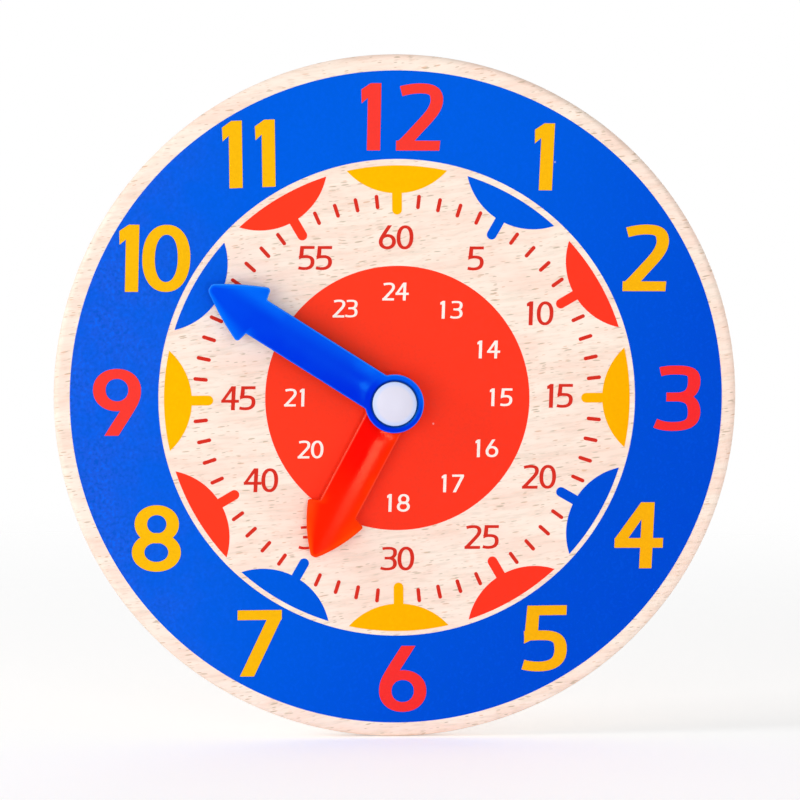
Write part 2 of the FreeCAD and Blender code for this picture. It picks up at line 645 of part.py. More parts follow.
PIECES = {
    "dial_board": dial_board,
    "minute_hand": minute_hand,
    "hour_hand": hour_hand,
    "hub_cap": hub_cap,
    "hand_washer": hand_washer,
    "nut_washer": nut_washer,
    "bush_nut": bush_nut,
    "mounting_bush": mounting_bush,
    "case_gasket": case_gasket,
    "gear_case": gear_case,
    "gear_cover": gear_cover,
    "cover_screws": cover_screws,
    "centre_arbor": centre_arbor,
    "centre_pinion": centre_pinion,
    "intermediate_wheel": intermediate_wheel,
    "intermediate_axle": intermediate_axle,
    "axle_washers": axle_washers,
    "hour_wheel": hour_wheel,
    "friction_spring": friction_spring,
    "thrust_washer": thrust_washer,
}

os.makedirs("parts", exist_ok=True)
for name, make in PIECES.items():
    shape = make()
    if not shape.isValid() or not shape.Solids:
        raise ValueError(name + " is not a valid solid")
    shape.exportStep("parts/" + name + ".step")
    print(name, len(shape.Solids), round(shape.Volume, 1))
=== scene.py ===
"""Geared teaching clock: printed board, hands, cap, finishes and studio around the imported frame."""

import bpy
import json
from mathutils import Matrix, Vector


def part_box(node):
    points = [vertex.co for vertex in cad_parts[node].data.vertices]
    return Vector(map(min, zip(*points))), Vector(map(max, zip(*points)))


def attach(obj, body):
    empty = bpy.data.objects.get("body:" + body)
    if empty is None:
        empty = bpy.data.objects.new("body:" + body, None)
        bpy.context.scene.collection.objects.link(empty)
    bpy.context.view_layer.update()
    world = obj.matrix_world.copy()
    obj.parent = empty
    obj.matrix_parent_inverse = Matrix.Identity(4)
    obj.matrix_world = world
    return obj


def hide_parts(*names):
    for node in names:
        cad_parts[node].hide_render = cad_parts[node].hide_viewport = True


bl_info = {
    "name": "Geared Teaching Clock",
    "version": (1, 0, 0),
    "blender": (4, 5, 0),
    "location": "3D View > Sidebar > Teaching Clock",
    "description": "Builds the printed board, hands, cap and finishes of a geared teaching clock",
    "category": "Add Mesh",
}

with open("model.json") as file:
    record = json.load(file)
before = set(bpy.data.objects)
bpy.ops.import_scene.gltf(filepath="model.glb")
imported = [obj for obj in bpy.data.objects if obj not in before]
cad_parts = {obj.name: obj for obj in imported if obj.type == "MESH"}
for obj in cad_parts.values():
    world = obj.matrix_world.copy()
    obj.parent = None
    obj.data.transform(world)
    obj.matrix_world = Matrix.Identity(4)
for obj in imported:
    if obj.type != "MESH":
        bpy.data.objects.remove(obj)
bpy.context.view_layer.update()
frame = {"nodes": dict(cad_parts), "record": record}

import json
import math

import bmesh
import bpy
import numpy as np
from bpy.props import FloatProperty, FloatVectorProperty, PointerProperty
from mathutils import Matrix, Vector
from mathutils.geometry import delaunay_2d_cdt

MM = 0.001
FIXED_BODY = "dial_and_case"
WELD = 1e-7
SHARP_ANGLE = math.radians(35)
CIRCLE = 2 * math.pi


# ---- places read from the frame ----
def back_and_front(node):
    """How far a node reaches forward of the cover's rear face: its back and its front."""
    low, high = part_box(node)
    return -high.y, -low.y


BOARD_LOW, BOARD_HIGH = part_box("dial_board")
BOARD_BACK, BOARD_FRONT = back_and_front("dial_board")
BOARD_CENTRE = ((BOARD_LOW.x + BOARD_HIGH.x) / 2, (BOARD_LOW.z + BOARD_HIGH.z) / 2)
BOARD_RADIUS = (BOARD_HIGH.x - BOARD_LOW.x) / 2
NUT_WASHER_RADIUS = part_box("nut_washer")[1].x


# ---- settings ----
def size(description, millimetres):
    """A length, shown in the scene's units."""
    return FloatProperty(
        description=description, default=millimetres * MM, precision=5, subtype="DISTANCE", unit="LENGTH",
    )


def angle(description, degrees):
    return FloatProperty(
        description=description, default=math.radians(degrees), subtype="ANGLE", unit="ROTATION",
    )


def share(description, value):
    return FloatProperty(description=description, default=value, subtype="FACTOR")


def power(description, watts):
    return FloatProperty(description=description, default=watts, unit="POWER")


def paint(description, display):
    """A colour given by its red, green and blue display values from 0 to 255."""
    level = np.array(display) / 255
    linear = np.where(level > 0.04045, ((level + 0.055) / 1.055) ** 2.4, level / 12.92)
    return FloatVectorProperty(
        description=description, subtype="COLOR", size=4, min=0.0, max=1.0, default=(*linear.tolist(), 1.0),
    )


def named(group):
    """Name each property of a group after its identifier: front_round becomes Front Round."""
    for identifier, made in group.__annotations__.items():
        made.keywords["name"] = identifier.replace("_", " ").title()
    return group


@named
class BoardSettings(bpy.types.PropertyGroup):
    """Beech board."""

    front_round: size("Radius of the sanded front edge", 1.9)
    back_round: size("Radius of the sanded back edge", 1.0)
    hole_radius: size("Radius of the hole that the bush stands in", 5.85)
    hole_round: size("Radius of the broken edges of the hole", 0.2)
    wood: paint("Lacquered beech between the flecks", (255, 236, 221))
    warm_wood: paint("Warmer patches in the beech", (254, 226, 210))
    fleck: paint("Short ray flecks in the beech", (186, 166, 138))
    warm_fleck: paint("Ray flecks of the warmer kind", (220, 174, 138))


@named
class PrintSettings(bpy.types.PropertyGroup):
    """Printed dial."""

    centre_x: size("Print's centre right of the hands' axis", 1.27)
    centre_z: size("Print's centre above the hands' axis", 1.25)
    ink_height: size("Height of a layer of ink above what it lies on", 0.04)
    ink_depth: size("Depth of a layer of ink in what it lies on", 0.02)
    ring_outer: size("Outer radius of the blue hour ring", 95.5)
    ring_inner: size("Inner radius of the blue hour ring", 69.8)
    disc_radius: size("Radius of the red middle disc", 38.7)
    mark_outer: size("Radius of a mark's outer edge", 68.2)
    mark_inner: size("Radius that a mark bulges in to", 60.1)
    mark_spread: angle("Angle from a mark's middle to its corner", 12.4)
    stem_width: size("Width of a mark's stem", 2.85)
    stem_end: size("Radius of the stem's round end", 53.9)
    mark_turn: angle("How far the ring of marks was laid on out of true", -0.43)
    mark_shift_x: size("Ring of marks right of the print's centre", 0.05)
    mark_shift_z: size("Ring of marks above the print's centre", -0.26)
    tick_width: size("Width of a minute tick", 1.08)
    tick_outer: size("Outer radius of a minute tick", 60.0)
    tick_inner: size("Inner radius of a minute tick", 55.8)
    tick_turn: angle("How far the ring of ticks was laid on out of true", -0.26)
    tick_shift_x: size("Ring of ticks right of the print's centre", 0.09)
    tick_shift_z: size("Ring of ticks above the print's centre", -0.3)
    hour_height: size("Height of the hour numerals", 19.5)
    minute_height: size("Height of the minute numerals", 7.0)
    day_height: size("Height of the 13 to 24 numerals", 5.2)
    blue: paint("Ring and marks", (0, 92, 227))
    # Each ink turns to its lower right colour towards the board's lower right; the ring also turns to the
    # far left blue, in patches, at the far left.
    thick_blue: paint("Where that ink lies thicker", (0, 66, 208))
    thin_blue: paint("Where that ink lies thinner", (30, 87, 221))
    red: paint("Disc and marks", (255, 52, 18))
    thick_red: paint("Where that ink lies thicker", (254, 42, 16))
    deep_red: paint("Ticks and minute numerals", (214, 38, 22))
    yellow: paint("Marks", (255, 187, 0))
    thick_yellow: paint("Where that ink lies thicker", (253, 171, 0))
    red_on_blue: paint("Red hour numerals, with a little of the ring showing through", (247, 54, 42))
    thick_red_on_blue: paint("Where that ink lies thicker", (246, 27, 36))
    yellow_on_blue: paint("Yellow hour numerals, with a little of the ring showing through", (249, 187, 10))
    thick_yellow_on_blue: paint("Where that ink lies thicker", (248, 174, 10))
    cream: paint("13 to 24 numerals", (253, 241, 232))


# Identifier, kind and description of a hand's property, then the minute and the hour hand's default.
HAND_PROPERTIES = (
    ("direction", angle, "Clock angle of the hand at rest", 302.2, 207.7),
    ("length", size, "Axis to the tip before it is rounded", 65.0, 51.4),
    ("half_width", size, "Half the shaft's width", 5.75, 5.9),
    ("head_length", size, "Neck to tip", 17.6, 16.4),
    ("barb_half_width", size, "Half the width over the barbs", 9.35, 9.15),
    ("barb_sweep", size, "Rise of a barb from the neck", 0.8, 1.3),
    ("bulge", size, "Outward bow of the head's sides", 0.5, 0.9),
    ("tip_round", size, "Radius of the tip", 1.6, 1.0),
    ("barb_round", size, "Radius of the barbs", 0.9, 0.6),
    ("hole_radius", size, "Radius of the hole for the arbor or the hour pipe", 1.75, 2.55),
    ("seat_radius", size, "Radius of the opening in the front face", 6.75, 2.55),
    ("seat_depth", size, "Depth of the seat for the cap", 0.7, 0.0),
    ("plastic", paint, "Moulded plastic", (0, 36, 222), (255, 0, 0)),
    # Light plastic: the colour that the hand turns to towards its outer end.
    ("light_plastic", paint, "Thinner outer end", (0, 67, 233), (255, 30, 0)),
    # Painted sheen colour, laid on one side of the hand and on its head's borders.
    ("pale_plastic", paint, "Paler side and the head's borders", (0, 112, 255), (255, 80, 6)),
    # Painted highlight colour on the rounded edge.
    ("edge_plastic", paint, "Rounded edge", (40, 140, 255), (255, 92, 70)),
    # Painted shade colour round the middle, in the cap's seat or under the other hand.
    ("deep_plastic", paint, "Middle, under the cap or the other hand", (0, 18, 150), (200, 0, 0)),
    # Side and share of the painted sheen, then the share of the painted highlight on the rounded edge and
    # how much of it the head's edge has.
    ("pale_side", angle, "Clockwise angle from the hand's direction to its paler side", 90, -90),
    ("pale_share", share, "How much paler that side is", 0.58, 0.5),
    ("edge_share", share, "How pale the rounded edge is", 0.55, 0.6),
    ("head_edge", share, "How much of that the head's edge has", 1.4, 0.0),
)


def hand_properties(column):
    """The properties of the hand whose defaults stand in this column of the table."""
    return {row[0]: row[1](row[2], row[column]) for row in HAND_PROPERTIES}


@named
class MinuteHandSettings(bpy.types.PropertyGroup):
    """Blue hand."""

    __annotations__ = hand_properties(3)


@named
class HourHandSettings(bpy.types.PropertyGroup):
    """Red hand."""

    __annotations__ = hand_properties(4)


@named
class HandShapeSettings(bpy.types.PropertyGroup):
    """What both hands share."""

    boss_radius: size("Radius of the round boss", 8.55)
    boss_fillet: size("Hollow between boss and shaft", 1.2)
    neck_fillet: size("Hollow between shaft and barb", 0.35)
    crown_radius: size("Radius of the front across the shaft", 38.0)
    boss_fall: size("How far the boss's front falls away to its edge", 0.2)
    front_round: size("Round of the front edge", 0.35)
    back_round: size("Round of the back edge", 0.12)


@named
class CapSettings(bpy.types.PropertyGroup):
    """White cap."""

    radius: size("Radius of the cap", 6.43)
    rim_height: size("Height of the straight rim", 0.9)
    dome_height: size("Rise of the dome above the rim", 1.0)
    edge_round: size("Round between rim and dome", 0.45)
    stem_radius: size("Radius of the push-in stem", 0.8)
    stem_length: size("Length of the push-in stem", 3.0)
    plastic: paint("Milky white plastic", (221, 219, 236))
    # Painted highlight: the dome's border is painted this bluer white.
    rim_plastic: paint("Bluer white of the dome's border", (198, 213, 251))


@named
class WorksSettings(bpy.types.PropertyGroup):
    """Case, train and fixings."""

    case: paint("Textured grey plastic", (208, 208, 204))
    gear: paint("Natural acetal", (238, 234, 222))
    steel: paint("Bright turned steel", (200, 201, 204))
    brass: paint("Turned brass", (222, 184, 106))
    rubber: paint("Black rubber", (34, 34, 35))


@named
class StudioSettings(bpy.types.PropertyGroup):
    """Camera, lamps and floor."""

    focal_length: FloatProperty(description="Lens of the camera", default=156.06, unit="CAMERA")
    distance: size("Camera to the dial's plane", 1014.0)
    tilt: angle("Dial's tilt about its level line", 3.45)
    turn: angle("Dial's turn about its upright line", 3.49)
    slide_x: size("Print's centre right of the camera's line of sight", -0.696)
    slide_z: size("Print's centre above the camera's line of sight", 0.512)
    world_level: share("Even light on the object", 0.55)
    floor_glow: share("Light that the camera sees added to the floor", 0.30)
    key_softbox: power("Large softbox to the left", 9.7)
    side_softbox: power("Softbox far to the left that lights edges", 9.0)
    strip_lamp: power("Strip that shines in the hour hand", 1.15)
    front_lamp: power("Lamp that shines in the minute hand", 1.0)
    edge_softbox: power("Softbox that grazes the lower right edge", 3.0)
    rear_softbox: power("Softbox behind, level with the floor", 9.0)
    floor: paint("Plain pale floor", (246, 246, 246))


class ClockSettings(bpy.types.PropertyGroup):
    """Everything that the builders read."""

    board: PointerProperty(type=BoardSettings)
    dial: PointerProperty(type=PrintSettings)
    minute_hand: PointerProperty(type=MinuteHandSettings)
    hour_hand: PointerProperty(type=HourHandSettings)
    hand_shape: PointerProperty(type=HandShapeSettings)
    cap: PointerProperty(type=CapSettings)
    works: PointerProperty(type=WorksSettings)
    studio: PointerProperty(type=StudioSettings)


# ---- meshes from arrays ----
ARC_STEPS = 8
# How the plane's triangles are cut along the outlines: those inside stay, and points closer
# than this many mm are one.
INSIDE_OUTLINES = 1
MEETING_DISTANCE = 1e-5


def grid_faces(rows, columns, wrap=True):
    """Quads between neighbours in a grid of points; wrap joins the last column to the first."""
    number = np.arange(rows * columns).reshape(rows, columns)
    if wrap:
        number = np.hstack([number, number[:, :1]])
    corners = [number[:-1, :-1], number[:-1, 1:], number[1:, 1:], number[1:, :-1]]
    return np.stack(corners, axis=-1).reshape(-1, 4)


def new_object(name, data):
    made = bpy.data.objects.new(name, data)
    bpy.context.scene.collection.objects.link(made)
    return made


def add_piece(name, parts, finish, slot, body, *replaced, rim=None):
    """One closed mesh from (points, faces) parts: doubles merged, faces outward, edges creased.

    rim holds a value for each point of the first part, for finishes that follow its border.
    """
    start = 0
    points, faces = [], []
    for part_points, part_faces in parts:
        flat = np.asarray(part_points, float).reshape(-1, 3)
        points.append(flat)
        faces += [block + start for block in part_faces]
        start += len(flat)
    mesh = bpy.data.meshes.new(name)
    rows = [row for block in faces for row in block.tolist()]
    mesh.from_pydata(np.vstack(points).tolist(), [], rows)
    if rim is not None:
        values = np.zeros(start)
        values[:rim.size] = rim.ravel()
        mesh.attributes.new("rim", "FLOAT", "POINT").data.foreach_set("value", values)
    form = bmesh.new()
    form.from_mesh(mesh)
    bmesh.ops.remove_doubles(form, verts=form.verts, dist=WELD)
    bmesh.ops.recalc_face_normals(form, faces=form.faces)
    form.to_mesh(mesh)
    form.free()
    mesh.shade_smooth()
    mesh.set_sharp_from_angle(angle=SHARP_ANGLE)
    mesh.materials.append(finish)
    piece = new_object(name, mesh)
    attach(piece, body)
    if replaced:
        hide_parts(*replaced)
    return piece


def rounded(corners, radii, steps=ARC_STEPS, support=0.0):
    """Open path through corners; each inner one becomes an arc that touches both its sides.

    With u and v the directions in and out and t the angle between them, the arc starts
    radius * tan(t / 2) before the corner. Support adds a point that far from each arc's ends.
    """
    corners = np.asarray(corners, float)
    pieces = [corners[:1]]
    for before, corner, after, radius in zip(corners[:-2], corners[1:-1], corners[2:], radii):
        inward = (corner - before) / np.linalg.norm(corner - before)
        outward = (after - corner) / np.linalg.norm(after - corner)
        turn = math.acos(np.clip(inward @ outward, -1, 1))
        side = np.sign(inward[0] * outward[1] - inward[1] * outward[0])
        normal = side * np.array([-inward[1], inward[0]])
        reach = radius * math.tan(turn / 2)
        sweep = np.linspace(0, turn, steps + 1)[:, None]
        arc = corner - inward * reach
        arc = arc + radius * (np.sin(sweep) * inward + (1 - np.cos(sweep)) * normal)
        if support:
            arc = np.vstack([arc[:1] - inward * support, arc, arc[-1:] + outward * support])
        pieces.append(arc)
    return np.vstack(pieces + [corners[-1:]])


def refined(path, spacing):
    """The same path with points added so that no step is longer than spacing."""
    steps = np.linalg.norm(np.diff(path, axis=0), axis=1)
    at = np.concatenate([[0], np.cumsum(steps)])
    counts = np.maximum(1, np.ceil(steps / spacing)).astype(int)
    runs = [np.linspace(a, b, n, endpoint=False) for a, b, n in zip(at[:-1], at[1:], counts)]
    along = np.concatenate(runs + [at[-1:]])
    return np.column_stack([np.interp(along, at, path[:, 0]), np.interp(along, at, path[:, 1])])


def circles(x, z, radius, forward, segments):
    """Rows of points on upright circles: (x + r sin t, -forward, z + r cos t), t going round."""
    turn = np.linspace(0, CIRCLE, segments, endpoint=False)
    across, up = x + radius * np.sin(turn), z + radius * np.cos(turn)
    rows = np.stack(np.broadcast_arrays(across, -forward, up), axis=-1)
    return rows, [grid_faces(len(rows), segments)]


def revolved(profile, centre, segments):
    """A profile of (radius, distance forward) carried round the line through centre (x, z)."""
    return circles(*centre, *np.asarray(profile).T[:, :, None], segments)


def sheet_between(inner, outer, back, front, segments=360):
    """Flat sheet between two circles given as (x, z, radius), with straight walls.

    The rows run front inside, front outside, back outside, back inside and front inside
    again, which closes the sheet.
    """
    rows = [(*inner, front), (*outer, front), (*outer, back), (*inner, back), (*inner, front)]
    return circles(*np.array(rows).T[:, :, None], segments)


def sheet_over(outlines, back, front):
    """Flat sheet with straight walls over the union of closed (x, z) outlines.

    The plane is cut into triangles along all outlines, the triangles that lie in an outline
    stay, and each edge that only one triangle uses carries a wall from front to back.
    """
    points = np.vstack(outlines)
    loops, start = [], 0
    for outline in outlines:
        x, z = outline.T
        area = x @ np.roll(z, -1) - z @ np.roll(x, -1)
        loop = list(range(start, start + len(outline)))
        loops.append(loop if area > 0 else loop[::-1])
        start += len(outline)
    scale = 1 / MM
    flat = [Vector(point) for point in (points * scale).tolist()]
    cut = delaunay_2d_cdt(flat, [], loops, INSIDE_OUTLINES, MEETING_DISTANCE, True)
    places = np.array([tuple(place) for place in cut[0]]) / scale
    kept = np.array([face for face, source in zip(cut[2], cut[5]) if source])
    edges = kept[:, [[0, 1], [1, 2], [2, 0]]].reshape(-1, 2)
    met = np.unique(np.sort(edges, axis=1), axis=0, return_index=True, return_counts=True)
    rim = edges[met[1][met[2] == 1]]
    total = len(places)
    walls = np.column_stack([rim[:, 1], rim[:, 0], rim[:, 0] + total, rim[:, 1] + total])
    level = np.repeat([-front, -back], total)
    points = np.column_stack([np.tile(places[:, 0], 2), level, np.tile(places[:, 1], 2)])
    return points, [kept, kept[:, ::-1] + total, walls]


# ---- numerals, drawn with a pen on a digit one unit high ----
BROAD_PEN = (0.188, 0.148)
FINE_PEN = (0.161, 0.123)


def flowing(points, steps=10):
    """Chain of cubic curves: each takes four points and ends where the next one starts."""
    points = np.asarray(points, float)
    t = np.linspace(0, 1, steps + 1)[:, None, None]
    a, b, c, d = points[:-1:3], points[1::3], points[2::3], points[3::3]
    rows = (1 - t) ** 3 * a + 3 * (1 - t) ** 2 * t * b + 3 * (1 - t) * t ** 2 * c + t ** 3 * d
    return np.vstack([rows[:-1].transpose(1, 0, 2).reshape(-1, 2), points[-1:]])


def stroke(path, pen, level=False):
    """Outline of a pen line: half its width is the pen's width seen along the path's direction.

    A level stroke is offset sideways only, so that its ends are cut level.
    """
    tangent = np.gradient(path, axis=0)
    tangent /= np.linalg.norm(tangent, axis=1)[:, None]
    half = np.hypot(pen[0] * tangent[:, 1], pen[1] * tangent[:, 0])[:, None] / 2
    side = np.column_stack([tangent[:, 1], -tangent[:, 0]])
    if level:
        side = np.array([[1.0, 0.0]]) / np.abs(tangent[:, 1:])
    return np.vstack([path + side * half, (path - side * half)[::-1]])


def oval(centre, outer, pen, power=2.2, steps=32):
    """Two half rings between the curve |x/a|^power + |y/b|^power = 1 and one a pen smaller."""
    turn = np.linspace(0, math.pi, steps + 1)
    c, s = np.cos(turn), np.abs(np.sin(turn))
    unit = np.column_stack([np.sign(c) * np.abs(c) ** (2 / power), s ** (2 / power)])
    outer = np.asarray(outer, float)
    inner = outer - pen
    halves = [unit * [1, flip] for flip in (1, -1)]
    return [np.vstack([half * outer, (half * inner)[::-1]]) + centre for half in halves]


def digit(name, pen):
    """Outlines of a digit one unit high and its width; x starts at its left edge."""
    px, py = pen
    fat = (px - FINE_PEN[0]) / (BROAD_PEN[0] - FINE_PEN[0])
    hx, hy = px / 2, py / 2
    if name == "0":
        width = 0.70 + 0.015 * fat
        return oval((width / 2, 0.5), (width / 2, 0.5), pen), width
    if name == "1":
        width = px * 1.05
        flag = [(-0.10, 0.905), (-0.092, 0.785 - 0.085 * fat), (0, 0.80 - 0.02 * fat)]
        return [np.array([(0, 0), (width, 0), (width, 1), (width * 0.2, 1)] + flag)], width
    if name == "2":
        right = 0.69 - hx
        path = flowing([
            (0.06, 0.957 - hy), (0.15, 0.983 - hy), (0.25, 1 - hy), (0.345, 1 - hy),
            (0.50, 1 - hy), (right, 0.90), (right, 0.745), (right - 0.005, 0.63), (0.51, 0.53),
            (0.378, 0.388), (0.27, 0.27), (0.18, 0.165), (hx * 0.78, hy * 0.9),
        ])
        foot = np.array([(0, 0), (0.648, 0), (0.66, py), (0, py)])
        return [stroke(path, pen), foot], 0.69
    if name == "3":
        right = 0.69 - hx
        upper = flowing([
            (0.07, 0.975 - hy), (0.16, 1 - hy), (0.24, 1 - hy), (0.32, 1 - hy),
            (0.50, 1 - hy), (right - 0.01, 0.90), (right - 0.01, 0.755), (right - 0.01, 0.60), (0.50, 0.52),
            (0.33, 0.52), (0.28, 0.52), (0.24, 0.52), (0.17, 0.52),
        ])
        lower = flowing([
            (0.17, 0.52), (0.24, 0.52), (0.28, 0.52), (0.33, 0.52),
            (0.52, 0.52), (right, 0.43), (right, 0.285), (right, 0.14), (0.50, hy), (0.28, hy),
            (0.19, hy), (0.10, hy + 0.01), (0.01, hy + 0.05),
        ])
        return [stroke(upper, (px, py * 0.9)), stroke(lower, (px, py * 0.9))], 0.69
    if name == "4":
        left = 0.592 - px
        thin = 1 - fat
        stem = [(left - 0.02, 0), (0.572, 0), (0.592, 1), (left, 1)]
        bar = [(0, 0.311), (0.735, 0.311), (0.735, 0.311 + py), (0, 0.311 + py)]
        slope = [(0, 0.446 - 0.055 * thin), (0.576 - px * 1.01, 1), (0.576, 1)]
        slope += [(0.107 - 0.02 * thin, 0.311), (0, 0.311)]
        return [np.array(part) for part in (stem, bar, slope)], 0.735
    if name == "5":
        right = 0.678 - hx
        bar = [(0.072, 1 - py), (0.665, 1 - py), (0.668, 1), (0.072, 1)]
        stem = [(0.072, 1), (0.072 + px, 1), (0.045 + px, 0.52), (0.027, 0.50 - hy), (0.03, 0.5)]
        path = flowing([
            (0.028, 0.465 + hy), (0.12, 0.545), (0.18, 0.622 - hy), (0.29, 0.622 - hy),
            (0.50, 0.622 - hy), (right, 0.50), (right, 0.33), (right, 0.16), (0.48, hy), (0.26, hy),
            (0.18, hy), (0.10, hy + 0.008), (0.016, hy + 0.033),
        ])
        return [np.array(bar), np.array(stem), stroke(path, pen)], 0.678
    if name == "7":
        across = 1.137 * px
        bar = [(0, 1 - py), (0.664, 1 - py), (0.664, 1), (0, 1)]
        foot = 0.145 + 0.595 * px
        leg = [(0.664, 1), (0.657, 0.865), (foot, 0)]
        leg += [(foot - across, 0), (0.657 - across, 0.865), (0.717 - across, 1)]
        return [np.array(bar), np.array(leg)], 0.664
    if name == "8":
        upper = oval((0.373, 0.714), (0.317 + 0.015 * fat, 0.286), pen, 2.05)
        return upper + oval((0.3665, 0.291), (0.3665, 0.291), pen, 2.05), 0.733
    width = 0.714
    leg = flowing([
        (0.44, 1.0), (0.33, 0.82), (0.24, 0.69), (0.175, 0.575), (0.125, 0.49), (hx, 0.42), (hx, 0.323),
    ])
    shapes = oval((width / 2, 0.316), (width / 2, 0.316), pen, 2.1) + [stroke(leg, pen, level=True)]
    return [[width, 1] - shape for shape in shapes] if name == "9" else shapes, width


def number(text, pen, height, x, y, advance=0.0, lean=1.5, turn=0.0):
    """Digits side by side, centred on (x, y) mm; the lean shifts points sideways with height."""
    shapes, left = [], 0.0
    for name in text:
        outlines, width = digit(name, pen)
        shapes += [outline + [left, -0.5] for outline in outlines]
        last, left = left + width, left + advance
    c, s = math.cos(math.radians(turn)), math.sin(math.radians(turn))
    slant = np.array([[1, 0], [math.tan(math.radians(lean)), 1]]) @ np.array([[c, -s], [s, c]])
    return [((shape - [last / 2, 0]) * height) @ slant + np.array([x, y]) * MM for shape in shapes]


# Text, middle of the number in mm from the print's centre, step from digit to digit as a share of
# the numeral's height, then lean and turn in degrees.
RED_HOURS = [
    ("12", 1.9, 82.0, 0.435, 1.0), ("3", 82.5, 0.0, 0, 1.0),
    ("6", 1.8, -82.6, 0, 0), ("9", -81.8, -1.2, 0, 0),
]
YELLOW_HOURS = [
    ("1", 43.4, 70.6, 0, 2.4), ("2", 72.7, 41.2, 0, 0.6), ("4", 71.3, -40.4, 0, 1.3),
    ("5", 43.6, -70.8, 0, 1.0, -0.5), ("7", -40.3, -71.9, 0, 1.0, -0.5), ("8", -70.4, -41.0, 0, 0),
    ("10", -69.9, 40.7, 0.249, 1.2), ("11", -42.6, 71.1, 0.49, 1.5, -2.4),
]
MINUTES = [
    ("60", -0.6, 47.0, 0.738), ("5", 22.7, 40.9), ("10", 42.0, 24.9, 0.331),
    ("15", 48.0, 0.7, 0.32), ("20", 41.7, -23.1, 0.72), ("25", 24.9, -40.8, 0.754),
    ("30", 0.1, -47.1, 0.71), ("35", -23.8, -40.9, 0.75), ("40", -39.9, -24.0, 0.73),
    ("45", -46.5, 0.0, 0.747), ("50", -40.7, 23.5, 0.75), ("55", -24.2, 40.9, 0.73),
]
DAY_HOURS = [
    ("24", -0.7, 31.2, 0.74), ("13", 15.9, 25.9, 0.48), ("14", 26.9, 14.3, 0.46),
    ("15", 30.6, 0.3, 0.50), ("16", 26.5, -14.7, 0.49), ("17", 16.5, -25.0, 0.49),
    ("18", 0.6, -30.7, 0.47), ("19", -15.0, -26.0, 0.48), ("20", -25.4, -15.0, 0.735),
    ("21", -30.2, 0.2, 0.96), ("22", -26.2, 15.1, 0.72), ("23", -15.4, 26.2, 0.70),
]


def clockwise(outline, turn):
    """The outline turned clockwise about the origin."""
    c, s = math.cos(turn), math.sin(turn)
    return outline @ np.array([[c, -s], [s, c]])


def capsule(width, inner, outer, flat_top=False, steps=10):
    """Upright bar with half-round ends, from inner to outer on the line to 12 o'clock."""
    half = width / 2
    turn = np.linspace(0, math.pi, steps + 1)
    foot = np.column_stack([-half * np.cos(turn), inner + half - half * np.sin(turn)])
    if flat_top:
        return np.vstack([foot, [(half, outer), (-half, outer)]])
    top = np.column_stack([half * np.cos(turn), outer - half + half * np.sin(turn)])
    return np.vstack([foot, top])


def mark_outlines(dial):
    """Lens with its stem: the lens lies between an arc round the dial and one that bulges in.

    The inner arc goes through both corners; its radius is (half chord^2 + rise^2) / (2 rise).
    """
    spread = np.linspace(-dial.mark_spread, dial.mark_spread, 33)
    outer = dial.mark_outer * np.column_stack([np.sin(spread), np.cos(spread)])
    half_chord, corner_height = outer[-1]
    rise = corner_height - dial.mark_inner
    radius = (half_chord ** 2 + rise ** 2) / (2 * rise)
    sweep = np.linspace(1, -1, 41)[1:-1] * math.asin(half_chord / radius)
    inner = radius * np.column_stack([np.sin(sweep), -np.cos(sweep)]) + [0, dial.mark_inner + radius]
    stem = capsule(dial.stem_width, dial.stem_end, dial.mark_inner + dial.stem_width / 2, flat_top=True)
    return [np.vstack([outer, inner]), stem]


# ---- hands ----
OUTLINE_STEP = 0.8 * MM
# Shares of the boss's radius: where the spine leaves the hole, where the crown starts and the run
# over which it grows, and the width of the boss's falling rim.
SHOULDER_SHARE = 1.35
CROWN_START, CROWN_RUN = 0.8, 0.55
BOSS_RIM_SHARE = 0.25


def hand_half(hand, shape):
    """Right half of a hand that points to 12 o'clock, from the boss's foot to the tip.

    Boss arc, hollow arc between boss and shaft, shaft, neck, barb and bowed side. The bow is
    4 t (1 - t) times its height, t running from barb to tip.
    """
    reach = shape.boss_radius + shape.boss_fillet
    hollow_x = hand.half_width + shape.boss_fillet
    hollow_z = math.sqrt(reach ** 2 - hollow_x ** 2)
    touch = math.atan2(hollow_z, hollow_x)
    sweep = np.linspace(-math.pi / 2, touch, 41)
    boss = shape.boss_radius * np.column_stack([np.cos(sweep), np.sin(sweep)])
    sweep = np.linspace(math.pi + touch, math.pi, 9)[1:]
    hollow = shape.boss_fillet * np.column_stack([np.cos(sweep), np.sin(sweep)]) + [hollow_x, hollow_z]
    neck_z = hand.length - hand.head_length
    barb = np.array([hand.barb_half_width, neck_z + hand.barb_sweep])
    tip = np.array([0.0, hand.length])
    head = rounded(
        [(hand.half_width, hollow_z), (hand.half_width, neck_z), barb, tip, barb * [-1, 1]],
        [shape.neck_fillet, hand.barb_round, hand.tip_round],
    )
    head = refined(head[:-1 - ARC_STEPS // 2], OUTLINE_STEP)
    reach = np.linalg.norm(tip - barb)
    side = (tip - barb) / reach
    along = np.clip((head - barb) @ side / reach, 0, 1)
    bow = 4 * along * (1 - along) * hand.bulge * (head[:, 1] > barb[1])
    head = head + bow[:, None] * np.array([side[1], -side[0]])
    head[-1, 0] = 0.0
    return np.vstack([boss, hollow, head[1:]])


